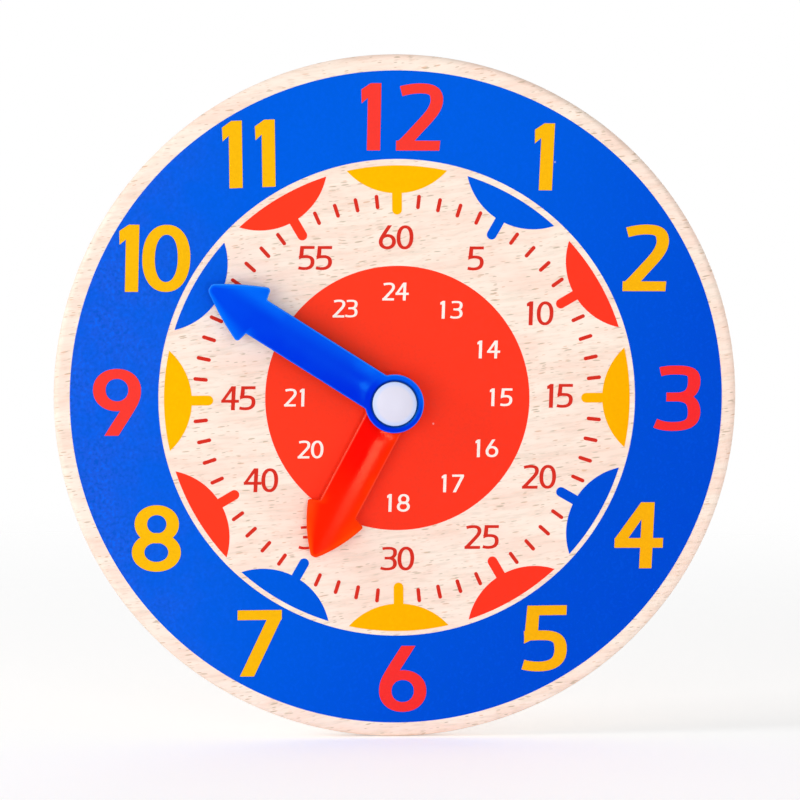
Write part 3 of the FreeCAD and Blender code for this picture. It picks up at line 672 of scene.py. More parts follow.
def spine(half, inner_radius, shape):
    """For each outline point, the point that the faces run in to.

    While the outline climbs from the boss's foot to a little above the boss, it runs half way
    round the hole; after that it climbs the middle line and stops short of the tip.
    """
    top = half[-1, 1]
    shoulder = SHOULDER_SHARE * shape.boss_radius
    steps = np.concatenate([[0], np.cumsum(np.linalg.norm(np.diff(half, axis=0), axis=1))])
    last_round = int(np.argmax(half[:, 1] > shoulder))
    turn = math.pi * np.clip(steps / steps[last_round], 0, 1)
    round_hole = inner_radius * np.column_stack([np.sin(turn), -np.cos(turn)])
    # The spine lags behind the outline's height, most of all towards the tip.
    reach = [half[last_round, 1], shoulder + 8 * MM, top - 4 * MM, top]
    climb = np.interp(half[:, 1], reach, [inner_radius, shoulder + 7.5 * MM, top - 5 * MM, top - 1.9 * MM])
    climbing = np.arange(len(half)) > last_round
    return np.where(climbing[:, None], np.column_stack([0 * climb, climb]), round_hole), last_round


def mirrored(half):
    """A right half and its mirror image as one closed loop."""
    return np.vstack([half, half[-2:0:-1] * [-1, 1]])


def hand_front(points, front, shape):
    """Distance forward of the hand's front at (x, z).

    Across the shaft it falls away like a circle of the crown's radius; a smooth step along the
    hand takes the fall to nothing over the boss, whose rim falls with the square of the way out.
    """
    x, z = points[..., 0], points[..., 1]
    fall = shape.crown_radius - np.sqrt(shape.crown_radius ** 2 - x ** 2)
    step = np.clip((z / shape.boss_radius - CROWN_START) / CROWN_RUN, 0, 1)
    smooth = step ** 2 * (3 - 2 * step)
    way_out = np.clip((np.hypot(x, z) / shape.boss_radius - 1) / BOSS_RIM_SHARE + 1, 0, 1)
    return front - fall * smooth - shape.boss_fall * way_out ** 2 * (1 - smooth)


def hand_surface(hand, shape, back, front):
    """Closed arrow hand: rows run from the back over the edge and the crown to the middle line.

    The second result is each point's rim value: 0 on the back, 1 on the edge, and on the front a
    straight fall from a half at the shoulder to 0 at the middle line.
    """
    half = hand_half(hand, shape)
    outline = mirrored(half)
    tangent = np.roll(outline, -1, axis=0) - np.roll(outline, 1, axis=0)
    tangent /= np.linalg.norm(tangent, axis=1)[:, None]
    inward = np.column_stack([-tangent[:, 1], tangent[:, 0]])
    back_half, _ = spine(half, hand.hole_radius, shape)
    front_half, last_round = spine(half, hand.seat_radius, shape)
    back_target, front_target = mirrored(back_half), mirrored(front_half)

    def row(points, forward):
        return np.column_stack([points[:, 0], forward + 0 * points[:, 0], points[:, 1]])

    rows, rims = [], []

    def add(points, forward, rim):
        rows.append(row(points, forward))
        rims.append(rim)

    foot = outline + inward * shape.back_round
    for part in np.linspace(0, 1, 5):
        add(back_target + (foot - back_target) * part, back, 0)
    for part in np.linspace(0, CIRCLE / 4, 4)[1:]:
        edge = outline + inward * shape.back_round * (1 - math.sin(part))
        add(edge, back + shape.back_round * (1 - math.cos(part)), 1)
    shoulder = outline + inward * shape.front_round
    top = hand_front(shoulder, front, shape)
    low = back + shape.back_round
    for part in (0.5, 1.0):
        add(outline, low + (top - shape.front_round - low) * part, 1)
    for part in np.linspace(0, CIRCLE / 4, 8)[1:]:
        edge = outline + inward * shape.front_round * (1 - math.cos(part))
        add(edge, top - shape.front_round * (1 - math.sin(part)), 1)
    for part in [0.03, *np.linspace(0, 1, 11)[1:]]:
        points = shoulder + (front_target - shoulder) * part
        add(points, hand_front(points, front, shape), (1 - part) / 2)
    outer = np.array(rows)
    rim = np.array(rims, float)[:, None] + np.zeros(len(outline))

    ring = slice(0, last_round + 1)
    left = slice(len(outline) - last_round, None)
    seat = np.vstack([front_target[left], front_target[ring]])
    hole = np.vstack([back_target[left], back_target[ring]])
    floor = front - hand.seat_depth
    inner = np.array([row(seat, front), row(seat, floor), row(hole, floor), row(hole, back)])
    c, s = math.cos(hand.direction), math.sin(hand.direction)
    place = np.array([[c, 0, -s], [0, -1, 0], [s, 0, c]])
    return [(part @ place, [grid_faces(*part.shape[:2])]) for part in (outer, inner)], rim


# ---- shader helpers ----
WHITE = (1.0, 1.0, 1.0, 1.0)
DUST = (0.9, 0.9, 0.9, 1.0)
BARE_BEECH = (0.95, 0.93, 0.9, 1.0)


def feed(tree, made, inputs):
    """Give a node's sockets, by name or number, their values or link outputs to them."""
    for key, value in inputs.items():
        if isinstance(value, bpy.types.NodeSocket):
            tree.links.new(value, made.inputs[key])
        else:
            made.inputs[key].default_value = value


def node(tree, kind, inputs, **settings):
    """Add a shader node with its settings and inputs."""
    made = tree.nodes.new("ShaderNode" + kind)
    for name, value in settings.items():
        setattr(made, name, value)
    feed(tree, made, inputs)
    return made


def maths(tree, operation, *values):
    return node(tree, "Math", dict(enumerate(values)), operation=operation).outputs[0]


def times(tree, first, second):
    return maths(tree, "MULTIPLY", first, second)


def vectors(tree, operation, *values):
    """Vector maths; a dot product or a length comes out as a value."""
    outputs = node(tree, "VectorMath", dict(enumerate(values)), operation=operation).outputs
    return outputs["Value" if operation in ("DOT_PRODUCT", "LENGTH") else "Vector"]


def between(tree, value, low, high, low_out=0.0, high_out=1.0):
    """Smooth step of a value from low to high."""
    inputs = {"Value": value, "From Min": low, "From Max": high, "To Min": low_out, "To Max": high_out}
    return node(tree, "MapRange", inputs, interpolation_type="SMOOTHSTEP").outputs[0]


def mixed(tree, part, first, second):
    """Two colours mixed by the second one's part."""
    return node(tree, "Mix", {0: part, 6: first, 7: second}, data_type="RGBA").outputs[2]


def noise(tree, vector, scale=1.0, detail=2.0):
    return node(tree, "TexNoise", {"Vector": vector, "Scale": scale, "Detail": detail}).outputs


def axes(tree, vector):
    return node(tree, "SeparateXYZ", {0: vector}).outputs


def axis_distance(tree, here):
    """Distance from the hands' axis."""
    x, _, z = axes(tree, here)
    return vectors(tree, "LENGTH", node(tree, "CombineXYZ", {0: x, 1: z}).outputs[0])


def group(tree, name, build, inputs):
    """Outputs of a shader node group, which is built the first time that it is placed."""
    made = bpy.data.node_groups.get(name) or build(name)
    return node(tree, "Group", inputs, node_tree=made).outputs


def new_group(name, inputs, outputs):
    """Empty group that takes a vector and the named values and gives the named values."""
    tree = bpy.data.node_groups.new(name, "ShaderNodeTree")
    tree.interface.new_socket("Vector", in_out="INPUT", socket_type="NodeSocketVector")
    for socket, default in inputs.items():
        made = tree.interface.new_socket(socket, in_out="INPUT", socket_type="NodeSocketFloat")
        made.default_value = default
    for socket in outputs:
        tree.interface.new_socket(socket, in_out="OUTPUT", socket_type="NodeSocketFloat")
    entry = tree.nodes.new("NodeGroupInput")
    leave = tree.nodes.new("NodeGroupOutput")
    return tree, entry.outputs, lambda **given: feed(tree, leave, given)


# Counts per metre along x and z of one layer of flecks, the distances from a fleck's middle at
# which it is full and gone, and the chance below which a place has none.
FLECK_LAYERS = ((260.0, 1500.0, 0.20, 0.38, 0.60), (430.0, 2300.0, 0.18, 0.36, 0.62))
FLECK_DEPTH_COUNT = 60.0
GRAIN_TURN = math.radians(8.0)


def beech_group(name):
    """Ray flecks that run into the board's depth, with fibres, streaks and warm patches."""
    tree, given, give = new_group(name, {}, ("Fleck", "Warmth", "Fibre", "Patch", "Height"))
    here = given["Vector"]
    wander = vectors(tree, "SUBTRACT", noise(tree, here, 28.0)["Color"], (0.5, 0.5, 0.5))
    bent = vectors(tree, "MULTIPLY_ADD", wander, (4 * MM, 4 * MM, 4 * MM), here)
    along_grain = node(tree, "Mapping", {"Vector": bent, "Rotation": (0.0, GRAIN_TURN, 0.0)}).outputs[0]

    def counted(*counts):
        """Coordinates along the grain scaled by counts per metre."""
        return node(tree, "Mapping", {"Vector": along_grain, "Scale": counts}).outputs[0]

    masks = []
    for x, z, full, gone, rarity in FLECK_LAYERS:
        cells = node(tree, "TexVoronoi", {"Vector": counted(x, FLECK_DEPTH_COUNT, z), "Scale": 1.0}).outputs
        chance = node(tree, "SeparateColor", {0: cells["Color"]}).outputs
        rare = between(tree, chance[0], rarity, rarity + 0.12)
        body = times(tree, between(tree, cells["Distance"], gone, full), rare)
        masks.append(times(tree, body, maths(tree, "MULTIPLY_ADD", chance[1], 0.75, 0.25)))
    flecks = maths(tree, "MAXIMUM", *masks)
    fibre = noise(tree, counted(40.0, 500.0, 900.0), detail=3.0)[0]
    streak = noise(tree, counted(260.0, 90.0, 1500.0))[0]
    band = noise(tree, counted(45.0, 60.0, 150.0))[0]
    give(
        Fleck=flecks,
        Warmth=between(tree, chance[2], 0.45, 0.9),
        Fibre=maths(tree, "MULTIPLY_ADD", fibre, 0.5, times(tree, streak, 0.5)),
        Patch=between(tree, band, 0.36, 0.64),
        Height=maths(tree, "MULTIPLY_ADD", flecks, -0.6, fibre),
    )
    return tree


def mottle_group(name):
    """Soft blotches, fine grain and rare pinholes, for ink and moulded plastic."""
    counts = {"Blotches per Metre": 90.0, "Grains per Metre": 1000.0, "Pinholes per Metre": 170.0}
    tree, given, give = new_group(name, counts, ("Blotch", "Grain", "Pinhole"))
    here = given["Vector"]
    holes = node(tree, "TexVoronoi", {"Vector": here, "Scale": given["Pinholes per Metre"]}).outputs
    chance = node(tree, "SeparateColor", {0: holes["Color"]}).outputs[0]
    rare = between(tree, chance, 0.975, 0.99)
    give(
        Blotch=noise(tree, here, given["Blotches per Metre"], 3.0)[0],
        Grain=noise(tree, here, given["Grains per Metre"])[0],
        Pinhole=times(tree, between(tree, holes["Distance"], 0.07, 0.03), rare),
    )
    return tree


def lathe_group(name):
    """Fine rings about the hands' axis, as a turned face has them, and soft tarnish."""
    tree, given, give = new_group(name, {"Rings per Metre": 9000.0}, ("Ring", "Tarnish"))
    rings = {"W": axis_distance(tree, given["Vector"]), "Scale": given["Rings per Metre"], "Detail": 2.0}
    give(
        Ring=node(tree, "TexNoise", rings, noise_dimensions="1D").outputs[0],
        Tarnish=noise(tree, given["Vector"], 320.0, 4.0)[0],
    )
    return tree


# ---- finishes ----
def new_finish(name):
    """Material with its Principled node and the object's own coordinates."""
    finish = bpy.data.materials.new(name)
    finish.use_nodes = True
    tree = finish.node_tree
    return finish, tree, tree.nodes["Principled BSDF"], node(tree, "TexCoord", {}).outputs["Object"]


def bump(tree, height, strength, distance):
    """Normal of a relief whose full height is this distance."""
    return node(tree, "Bump", {"Height": height, "Strength": strength, "Distance": distance}).outputs[0]


def shaded(colour, level, lift=0.0):
    """The colour at a share of its level plus a lift, up to white."""
    return (*(min(level * c + lift, 1.0) for c in colour[:3]), 1.0)


def beech_finish(board):
    """Lacquered beech: warm patches, fibres and ray flecks, which also stand in its relief."""
    finish, tree, shader, here = new_finish("lacquered_beech")
    beech = group(tree, "Beech Figure", beech_group, {"Vector": here})
    colour = mixed(tree, beech["Patch"], board.wood, board.warm_wood)
    fleck = mixed(tree, beech["Warmth"], board.fleck, board.warm_fleck)
    colour = mixed(tree, between(tree, beech["Fibre"], 0.42, 0.66, 0.0, 0.22), colour, fleck)
    feed(tree, shader, {
        "Base Color": mixed(tree, times(tree, beech["Fleck"], 0.8), colour, fleck),
        "Roughness": between(tree, beech["Fibre"], 0.3, 0.7, 0.42, 0.52),
        "Specular IOR Level": 0.25,
        "Normal": bump(tree, beech["Height"], 0.25, 0.08 * MM),
    })
    return finish


def ink_finish(name, colour, lower_right_colour, tint, far_left_colour=None):
    """Screen ink, darker towards the lower right and, where a far left colour is given, more purple and
    grainier in patches at the far left: faint blotches and grain, rare pinholes and the beech's relief
    under it."""
    finish, tree, shader, here = new_finish(name)
    mottle = group(tree, "Mottle", mottle_group, {"Vector": here})
    beech = group(tree, "Beech Figure", beech_group, {"Vector": here})
    blotch, grain = mottle["Blotch"], mottle["Grain"]
    # Darker towards the lower right of the board.
    along = vectors(tree, "DOT_PRODUCT", here, (0.87, 0.0, -0.5))
    base = mixed(tree, between(tree, along, -0.04, 0.1, 0.15, 1.0), colour, lower_right_colour)
    grit = 0.15
    if far_left_colour:
        # At the far left, in patches, the colour turns more purple and grainier.
        left = between(tree, axes(tree, here)[0], -0.035, -0.09)
        thin = times(tree, left, between(tree, blotch, 0.35, 0.65, 0.3, 1.0))
        base = mixed(tree, thin, base, far_left_colour)
        grit = maths(tree, "MULTIPLY_ADD", thin, 0.6, grit)
    deep = shaded(colour, 0.75)
    tone = mixed(tree, between(tree, blotch, 0.35, 0.75, 0.0, 0.1), base, deep)
    for limit, shade in ((0.3, deep), (0.7, shaded(colour, 1.2, 0.003))):
        tone = mixed(tree, times(tree, between(tree, grain, 0.5, limit), grit), tone, shade)
    relief = maths(tree, "MULTIPLY_ADD", beech["Height"], 0.5, grain)
    feed(tree, shader, {
        "Base Color": mixed(tree, times(tree, mottle["Pinhole"], 0.3), tone, BARE_BEECH),
        "Roughness": between(tree, grain, 0.3, 0.7, 0.42, 0.55),
        "Specular IOR Level": 0.2,
        "Specular Tint": (*tint, 1.0),
        "Normal": bump(tree, relief, 0.15, 0.05 * MM),
    })
    return finish


def moulded_finish(name, colour, roughness, specular, blotch=0.06, relief=0.08, grains=1200.0,
                   tint=(1.0, 1.0, 1.0), tones_and_painted_light=None, piece=None):
    """Moulded plastic: slow tone changes, satin to gloss drift and a fine orange-peel skin; a piece's own
    tones and painted light are laid on where given.
    """
    finish, tree, shader, here = new_finish(name)
    counts = {"Grains per Metre": grains, "Blotches per Metre": 70.0}
    mottle = group(tree, "Mottle", mottle_group, {"Vector": here, **counts})
    slow = between(tree, mottle["Blotch"], 0.3, 0.8, 0.0, 2 * blotch)
    base = mixed(tree, slow, colour, shaded(colour, 0.7))
    if tones_and_painted_light:
        base = tones_and_painted_light(tree, here, mottle, base, piece)
    skin = maths(tree, "MULTIPLY_ADD", mottle["Grain"], 0.5, mottle["Blotch"])
    feed(tree, shader, {
        "Base Color": mixed(tree, times(tree, mottle["Pinhole"], 0.25), base, DUST),
        "Roughness": between(tree, mottle["Blotch"], 0.3, 0.7, roughness - 0.04, roughness + 0.05),
        "Specular IOR Level": specular,
        "Specular Tint": (*tint, 1.0),
        "Normal": bump(tree, skin, relief, 0.15 * MM),
    })
    return finish


def hand_tones_and_painted_light(tree, here, mottle, base, hand):
    """A hand is lighter outwards, with a patchy painted sheen on one side and at its head's borders,
    painted highlight on its rounded edge, most of all on the clockwise side, and painted shade at the
    middle."""
    def aside(turn, low, high, low_out, high_out):
        """Step across the shaft, in half widths, towards an angle from the hand's direction."""
        side = (math.sin(hand.direction + turn), 0.0, math.cos(hand.direction + turn))
        distance = vectors(tree, "DOT_PRODUCT", here, side)
        return between(tree, distance, low * hand.half_width, high * hand.half_width, low_out, high_out)

    away = axis_distance(tree, here)
    neck = hand.length - hand.head_length

    def at_neck(run, low_out, high_out):
        """Step along the hand that is as long before the neck as after it."""
        return between(tree, away, neck - run * MM, neck + run * MM, low_out, high_out)

    rim = node(tree, "Attribute", {}, attribute_name="rim").outputs["Fac"]
    # The colour turns lighter towards the outer end.
    drift = maths(tree, "MULTIPLY_ADD", mottle["Blotch"], 0.03, away)
    light = between(tree, drift, 0.4 * hand.length, 1.3 * hand.length)
    tone = mixed(tree, light, base, hand.light_plastic)
    # Painted sheen: the head's borders and one side of the shaft are painted paler, in patches.
    border = times(tree, between(tree, rim, 0.25, 0.5), at_neck(4, 0.0, 0.8))
    side = aside(hand.pale_side, 0.1, 1.1, 0.0, hand.pale_share)
    patchy = between(tree, mottle["Blotch"], 0.35, 0.65, 1.0, 0.5)
    pale = times(tree, maths(tree, "MAXIMUM", border, side), patchy)
    tone = mixed(tree, pale, tone, hand.pale_plastic)
    # Painted highlight: a paler line on the rounded edge, strongest on the clockwise side.
    outer = at_neck(1.5, hand.edge_share, hand.edge_share * hand.head_edge)
    sided = aside(CIRCLE / 4, -0.5, 0.5, 0.45, 1.0)
    line = times(tree, times(tree, outer, sided), between(tree, rim, 0.6, 0.95))
    tone = mixed(tree, line, tone, hand.edge_plastic)
    # Painted shade: deep colour round the middle, where the cap's seat or the other hand shades it.
    seat = between(tree, away, hand.seat_radius + 0.65 * MM, hand.seat_radius + 0.05 * MM)
    return mixed(tree, seat, tone, hand.deep_plastic)


def cap_painted_highlight(tree, here, mottle, base, cap):
    """The cap's border has a painted bluish highlight: it turns bluer towards the edge."""
    border = between(tree, axis_distance(tree, here), 0.73 * cap.radius, 0.95 * cap.radius)
    return mixed(tree, border, base, cap.rim_plastic)


def metal_finish(name, colour, roughness):
    """Turned metal: lathe rings in its relief, darker and duller where it has tarnished."""
    finish, tree, shader, here = new_finish(name)
    lathe = group(tree, "Lathe Marks", lathe_group, {"Vector": here})
    tarnish = lathe["Tarnish"]
    dull = between(tree, tarnish, 0.4, 0.75, 0.0, 0.5)
    feed(tree, shader, {
        "Base Color": mixed(tree, dull, colour, shaded(colour, 0.6)),
        "Metallic": 1.0,
        "Roughness": between(tree, tarnish, 0.3, 0.7, roughness, roughness + 0.15),
        "Normal": bump(tree, lathe["Ring"], 0.2, 0.03 * MM),
    })
    return finish


# ---- operators ----
RED_SHEEN = (1.0, 0.7, 0.6)
WASHER_GAP = 0.05 * MM
BOARD_SEGMENTS, RING_SEGMENTS, CAP_SEGMENTS, FLOOR_SEGMENTS = 384, 512, 128, 96


class Builder:
    """What the operators share."""

    bl_options = {"REGISTER", "UNDO"}

    def execute(self, context):
        self.build(context.scene.teaching_clock)
        return {"FINISHED"}


class CLOCK_OT_board(Builder, bpy.types.Operator):
    """Beech board with rounded edges and the hole for the bush"""

    bl_idname = "teaching_clock.board"
    bl_label = "Board"

    def build(self, clock):
        board = clock.board
        hole, middle = board.hole_radius, (BOARD_BACK + BOARD_FRONT) / 2
        corners = [
            (hole, middle), (hole, BOARD_BACK), (BOARD_RADIUS, BOARD_BACK), (BOARD_RADIUS, BOARD_FRONT),
            (hole, BOARD_FRONT), (hole, middle),
        ]
        radii = [board.hole_round, board.back_round, board.front_round, board.hole_round]
        part = revolved(rounded(corners, radii, 10, 0.3 * MM), BOARD_CENTRE, BOARD_SEGMENTS)
        add_piece("beech_board", [part], beech_finish(board), "beech", FIXED_BODY, "dial_board")


class CLOCK_OT_rings(Builder, bpy.types.Operator):
    """Printed blue hour ring and red middle disc"""

    bl_idname = "teaching_clock.rings"
    bl_label = "Blue Ring and Red Disc"

    def build(self, clock):
        dial = clock.dial
        levels = (BOARD_FRONT - dial.ink_depth, BOARD_FRONT + dial.ink_height)
        centre = (dial.centre_x, dial.centre_z)
        ring = sheet_between((*centre, dial.ring_inner), (*centre, dial.ring_outer), *levels, RING_SEGMENTS)
        blue = ink_finish("blue_ink", dial.blue, dial.thick_blue, (0.02, 0.6, 1.0), dial.thin_blue)
        add_piece("blue_hour_ring", [ring], blue, "blue_ink", FIXED_BODY)
        disc = sheet_between((0, 0, NUT_WASHER_RADIUS + WASHER_GAP), (*centre, dial.disc_radius), *levels)
        red = ink_finish("red_ink", dial.red, dial.thick_red, RED_SHEEN)
        add_piece("red_middle_disc", [disc], red, "red_ink", FIXED_BODY)


def print_sheet(name, outlines, dial, finish, slot, layer=0):
    """Outlines about the print's centre as one sheet of ink, laid on the board or on other ink."""
    level = BOARD_FRONT + layer * dial.ink_height
    moved = [outline + [dial.centre_x, dial.centre_z] for outline in outlines]
    sheet = sheet_over(moved, level - dial.ink_depth, level + dial.ink_height)
    add_piece(name, [sheet], finish, slot, FIXED_BODY)


class CLOCK_OT_marks(Builder, bpy.types.Operator):
    """Printed five-minute marks and minute ticks"""

    bl_idname = "teaching_clock.marks"
    bl_label = "Marks and Ticks"

    def build(self, clock):
        dial = clock.dial
        ink_finish("yellow_ink", dial.yellow, dial.thick_yellow, (1.0, 0.8, 0.05))
        shift = [dial.mark_shift_x, dial.mark_shift_z]
        for first, name in enumerate(("yellow", "blue", "red")):
            turns = np.arange(first, 12, 3) * CIRCLE / 12 + dial.mark_turn
            shapes = [clockwise(outline, turn) + shift for turn in turns for outline in mark_outlines(dial)]
            ink = name + "_ink"
            print_sheet(name + "_five_minute_marks", shapes, dial, bpy.data.materials[ink], ink)
        tick = capsule(dial.tick_width, dial.tick_inner, dial.tick_outer)
        turns = [minute * CIRCLE / 60 + dial.tick_turn for minute in range(60) if minute % 5]
        ticks = [clockwise(tick, turn) + [dial.tick_shift_x, dial.tick_shift_z] for turn in turns]
        deep = ink_finish("deep_red_ink", dial.deep_red, dial.deep_red, (1.0, 0.6, 0.5))
        print_sheet("minute_ticks", ticks, dial, deep, "red_ink")


class CLOCK_OT_numerals(Builder, bpy.types.Operator):
    """Printed hour, minute and 13 to 24 numerals"""

    bl_idname = "teaching_clock.numerals"
    bl_label = "Numerals"

    def build(self, clock):
        dial = clock.dial
        deep = bpy.data.materials["deep_red_ink"]
        cream = ink_finish("cream_ink", dial.cream, dial.cream, (1.0, 1.0, 1.0))
        red = ink_finish("red_ink_on_blue", dial.red_on_blue, dial.thick_red_on_blue, RED_SHEEN)
        yellow = ink_finish(
            "yellow_ink_on_blue", dial.yellow_on_blue, dial.thick_yellow_on_blue, (1.0, 0.8, 0.1),
        )
        sets = [
            ("red_hour_numerals", RED_HOURS, BROAD_PEN, dial.hour_height, red, "red_ink", 1),
            ("yellow_hour_numerals", YELLOW_HOURS, BROAD_PEN, dial.hour_height, yellow, "yellow_ink", 1),
            ("minute_numerals", MINUTES, FINE_PEN, dial.minute_height, deep, "red_ink", 0),
            ("day_numerals", DAY_HOURS, FINE_PEN, dial.day_height, cream, "cream_ink", 1),
        ]
        for name, numbers, pen, height, finish, slot, layer in sets:
            shapes = [outline for text, *place in numbers for outline in number(text, pen, height, *place)]
            print_sheet(name, shapes, dial, finish, slot, layer)


class CLOCK_OT_hands(Builder, bpy.types.Operator):
    """Blue minute hand and red hour hand"""

    bl_idname = "teaching_clock.hands"
    bl_label = "Hands"

    def build(self, clock):
        for colour, role, hand, roughness, specular, sheen in (
            ("blue", "minute", clock.minute_hand, 0.22, 0.25, (0.02, 0.55, 1.0)),
            ("red", "hour", clock.hour_hand, 0.12, 0.17, (1.0, 0.28, 0.14)),
        ):
            slot, replaced = colour + "_plastic", role + "_hand"
            finish = moulded_finish(
                slot, hand.plastic, roughness, specular, tint=sheen, tones_and_painted_light=hand_tones_and_painted_light, piece=hand,
            )
            parts, rim = hand_surface(hand, clock.hand_shape, *back_and_front(replaced))
            add_piece(f"{colour}_{replaced}", parts, finish, slot, role + "_set", replaced, rim=rim)


class CLOCK_OT_cap(Builder, bpy.types.Operator):
    """White domed cap with its push-in stem"""

    bl_idname = "teaching_clock.cap"
    bl_label = "Cap"

    def build(self, clock):
        cap = clock.cap
        foot = back_and_front("hub_cap")[0]
        seat = foot + cap.stem_length
        rim = seat + cap.rim_height
        ball = (cap.radius ** 2 + cap.dome_height ** 2) / (2 * cap.dome_height)
        reach = np.linspace(cap.radius, 0, 25)
        dome = np.column_stack([reach, rim + cap.dome_height - ball + np.sqrt(ball ** 2 - reach ** 2)])
        under = [(0, foot), (cap.stem_radius, foot), (cap.stem_radius, seat), (cap.radius, seat)]
        radii = [0.2 * MM, 0.1 * MM, 0.1 * MM, cap.edge_round]
        profile = np.vstack([rounded(under + [(cap.radius, rim), dome[2]], radii), dome[3:]])
        white = moulded_finish("white_plastic", cap.plastic, 0.34, 0.4, 0.02, tones_and_painted_light=cap_painted_highlight, piece=cap)
        part = revolved(profile, (0, 0), CAP_SEGMENTS)
        add_piece("white_hub_cap", [part], white, "white_plastic", "minute_set", "hub_cap")


class CLOCK_OT_works(Builder, bpy.types.Operator):
    """Finishes of the case, the train and the fixings"""

    bl_idname = "teaching_clock.works"
    bl_label = "Case, Train and Fixings"

    def build(self, clock):
        works = clock.works
        finishes = {
            "case_plastic": moulded_finish("case_plastic", works.case, 0.52, 0.35, 0.04, 0.5, 2600.0),
            "gear_plastic": moulded_finish("gear_plastic", works.gear, 0.36, 0.4, 0.05, 0.1, 900.0),
            "steel": metal_finish("turned_steel", works.steel, 0.26),
            "brass": metal_finish("turned_brass", works.brass, 0.28),
            "black_rubber": moulded_finish("black_rubber", works.rubber, 0.7, 0.3, 0.1, 0.5, 1800.0),
            "beech": bpy.data.materials["lacquered_beech"],
        }
        for slot in ("blue_plastic", "red_plastic", "white_plastic"):
            finishes[slot] = bpy.data.materials[slot]
        for row in frame["record"]["subparts"]:
            for slot in frame["nodes"][row["node"]].material_slots:
                slot.material = finishes[row["material_slot"]]


SENSOR_WIDTH = 36.0


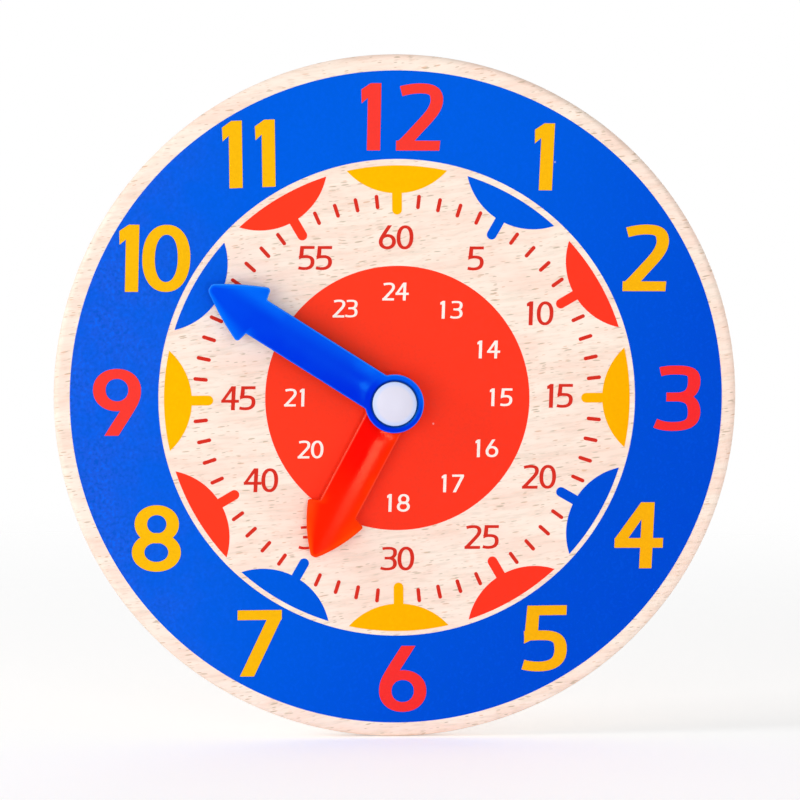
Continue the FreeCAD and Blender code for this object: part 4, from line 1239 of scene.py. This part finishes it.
class CLOCK_OT_studio(Builder, bpy.types.Operator):
    """Camera, lamps, world and floor"""

    bl_idname = "teaching_clock.studio"
    bl_label = "Studio"

    def build(self, clock):
        studio = clock.studio
        target = Vector((clock.dial.centre_x, -BOARD_FRONT, clock.dial.centre_z))
        self.camera(studio, target)
        along_hour_hand = math.pi - clock.hour_hand.direction
        for name, width, height, place, roll in (
            ("key_softbox", 1.2, 1.2, (-1.0, -1.36, -0.15), 0),
            ("side_softbox", 0.45, 0.45, (-1.6, -0.35, 0.6), 0),
            ("strip_lamp", 0.16, 0.06, (0.145, -1.19, -0.138), along_hour_hand),
            ("front_lamp", 0.25, 0.25, (0.26, -1.17, 0.19), 0),
            ("edge_softbox", 0.5, 0.5, (1.25, -0.25, -0.8), 0),
            ("rear_softbox", 1.0, 1.0, (0.6, 1.5, -0.05), 0),
        ):
            self.lamp(name, getattr(studio, name), (width, height), Vector(place), target, roll)
        self.world(studio)
        self.floor(studio)

    def camera(self, studio, target):
        """The dial is tilted about its level line, then turned about its upright one, in front
        of a still camera; the camera's place and axes are those turns undone."""
        dial = Matrix.Rotation(studio.turn, 3, "Y") @ Matrix.Rotation(studio.tilt, 3, "X")
        undone = dial.transposed()
        upright = Matrix(((1, 0, 0), (0, 0, -1), (0, 1, 0)))
        view = upright @ undone
        place = view @ Vector((-studio.slide_x, -studio.slide_z, studio.distance))
        seen = bpy.data.cameras.new("camera")
        seen.lens = studio.focal_length
        seen.sensor_width = SENSOR_WIDTH
        camera = new_object("camera", seen)
        camera.matrix_world = Matrix.Translation(target + place) @ view.to_4x4()
        bpy.context.scene.camera = camera

    def lamp(self, name, watts, sides, place, target, roll):
        """Rectangle lamp that faces the dial, rolled about its beam, unseen by the camera."""
        light = bpy.data.lights.new(name, "AREA")
        light.energy = watts
        light.shape = "RECTANGLE"
        light.size, light.size_y = sides
        lamp = new_object(name, light)
        facing = (target - place).to_track_quat("-Z", "Y").to_matrix().to_4x4()
        lamp.matrix_world = Matrix.Translation(place) @ facing @ Matrix.Rotation(roll, 4, "Z")
        lamp.visible_camera = False

    def world(self, studio):
        """Even light on the object; rays from the camera, in gloss and through glass see white."""
        scene = bpy.context.scene
        scene.view_settings.view_transform = "Standard"
        scene.world = bpy.data.worlds.new("studio_world")
        scene.world.use_nodes = True
        tree = scene.world.node_tree
        path = node(tree, "LightPath", {}).outputs
        seen = maths(tree, "MAXIMUM", path["Is Camera Ray"], path["Is Glossy Ray"])
        seen = maths(tree, "MAXIMUM", seen, path["Is Transmission Ray"])
        level = node(tree, "MapRange", {"Value": seen, "To Min": studio.world_level}).outputs[0]
        feed(tree, tree.nodes["Background"], {"Color": WHITE, "Strength": level})

    def floor(self, studio):
        """Round plain floor at the board's lowest point, which fades out far from the object."""
        rows, faces = circles(0, 0, np.array([0.0, 0.2, 0.5, 1.0, 2.0])[:, None], 0, FLOOR_SEGMENTS)
        points = rows[..., [0, 2, 1]] + [0, 0, BOARD_LOW.z]
        mesh = bpy.data.meshes.new("floor")
        mesh.from_pydata(points.reshape(-1, 3).tolist(), [], faces[0][:, ::-1].tolist())
        finish, tree, shader, here = new_finish("pale_floor")
        dust = between(tree, noise(tree, here, 6.0, 3.0)[0], 0.3, 0.7, 0.0, 0.02)
        camera_ray = node(tree, "LightPath", {}).outputs["Is Camera Ray"]
        feed(tree, shader, {
            "Base Color": mixed(tree, dust, studio.floor, (0.8, 0.8, 0.8, 1.0)),
            "Roughness": 0.9,
            "Specular IOR Level": 0.0,
            "Emission Color": WHITE,
            "Emission Strength": times(tree, camera_ray, studio.floor_glow),
        })
        clear = node(tree, "BsdfTransparent", {}).outputs[0]
        faded = times(tree, between(tree, vectors(tree, "LENGTH", here), 0.25, 0.8), camera_ray)
        blend = node(tree, "MixShader", {0: faded, 1: shader.outputs[0], 2: clear}).outputs[0]
        feed(tree, tree.nodes["Material Output"], {"Surface": blend})
        mesh.materials.append(finish)
        floor = new_object("floor", mesh)
        # Lamps level with the dial reach its lower half through the floor.
        floor.visible_shadow = False


class CLOCK_PT_panel(bpy.types.Panel):
    """Sidebar panel with the builders"""

    bl_idname = "CLOCK_PT_panel"
    bl_label = "Teaching Clock"
    bl_space_type = "VIEW_3D"
    bl_region_type = "UI"
    bl_category = "Teaching Clock"

    def draw(self, context):
        for operator in OPERATORS:
            self.layout.operator(operator.bl_idname)


SETTINGS = (
    BoardSettings, PrintSettings, MinuteHandSettings, HourHandSettings, HandShapeSettings,
    CapSettings, WorksSettings, StudioSettings, ClockSettings,
)
OPERATORS = (
    CLOCK_OT_studio, CLOCK_OT_board, CLOCK_OT_rings, CLOCK_OT_marks, CLOCK_OT_numerals,
    CLOCK_OT_hands, CLOCK_OT_cap, CLOCK_OT_works,
)


def register():
    for made in SETTINGS + OPERATORS + (CLOCK_PT_panel,):
        bpy.utils.register_class(made)
    bpy.types.Scene.teaching_clock = PointerProperty(type=ClockSettings)


def unregister():
    del bpy.types.Scene.teaching_clock
    for made in reversed(SETTINGS + OPERATORS + (CLOCK_PT_panel,)):
        bpy.utils.unregister_class(made)


def main():
    register()
    for operator in OPERATORS:
        family, name = operator.bl_idname.split(".")
        getattr(getattr(bpy.ops, family), name)()


if __name__ == "__main__":
    main()
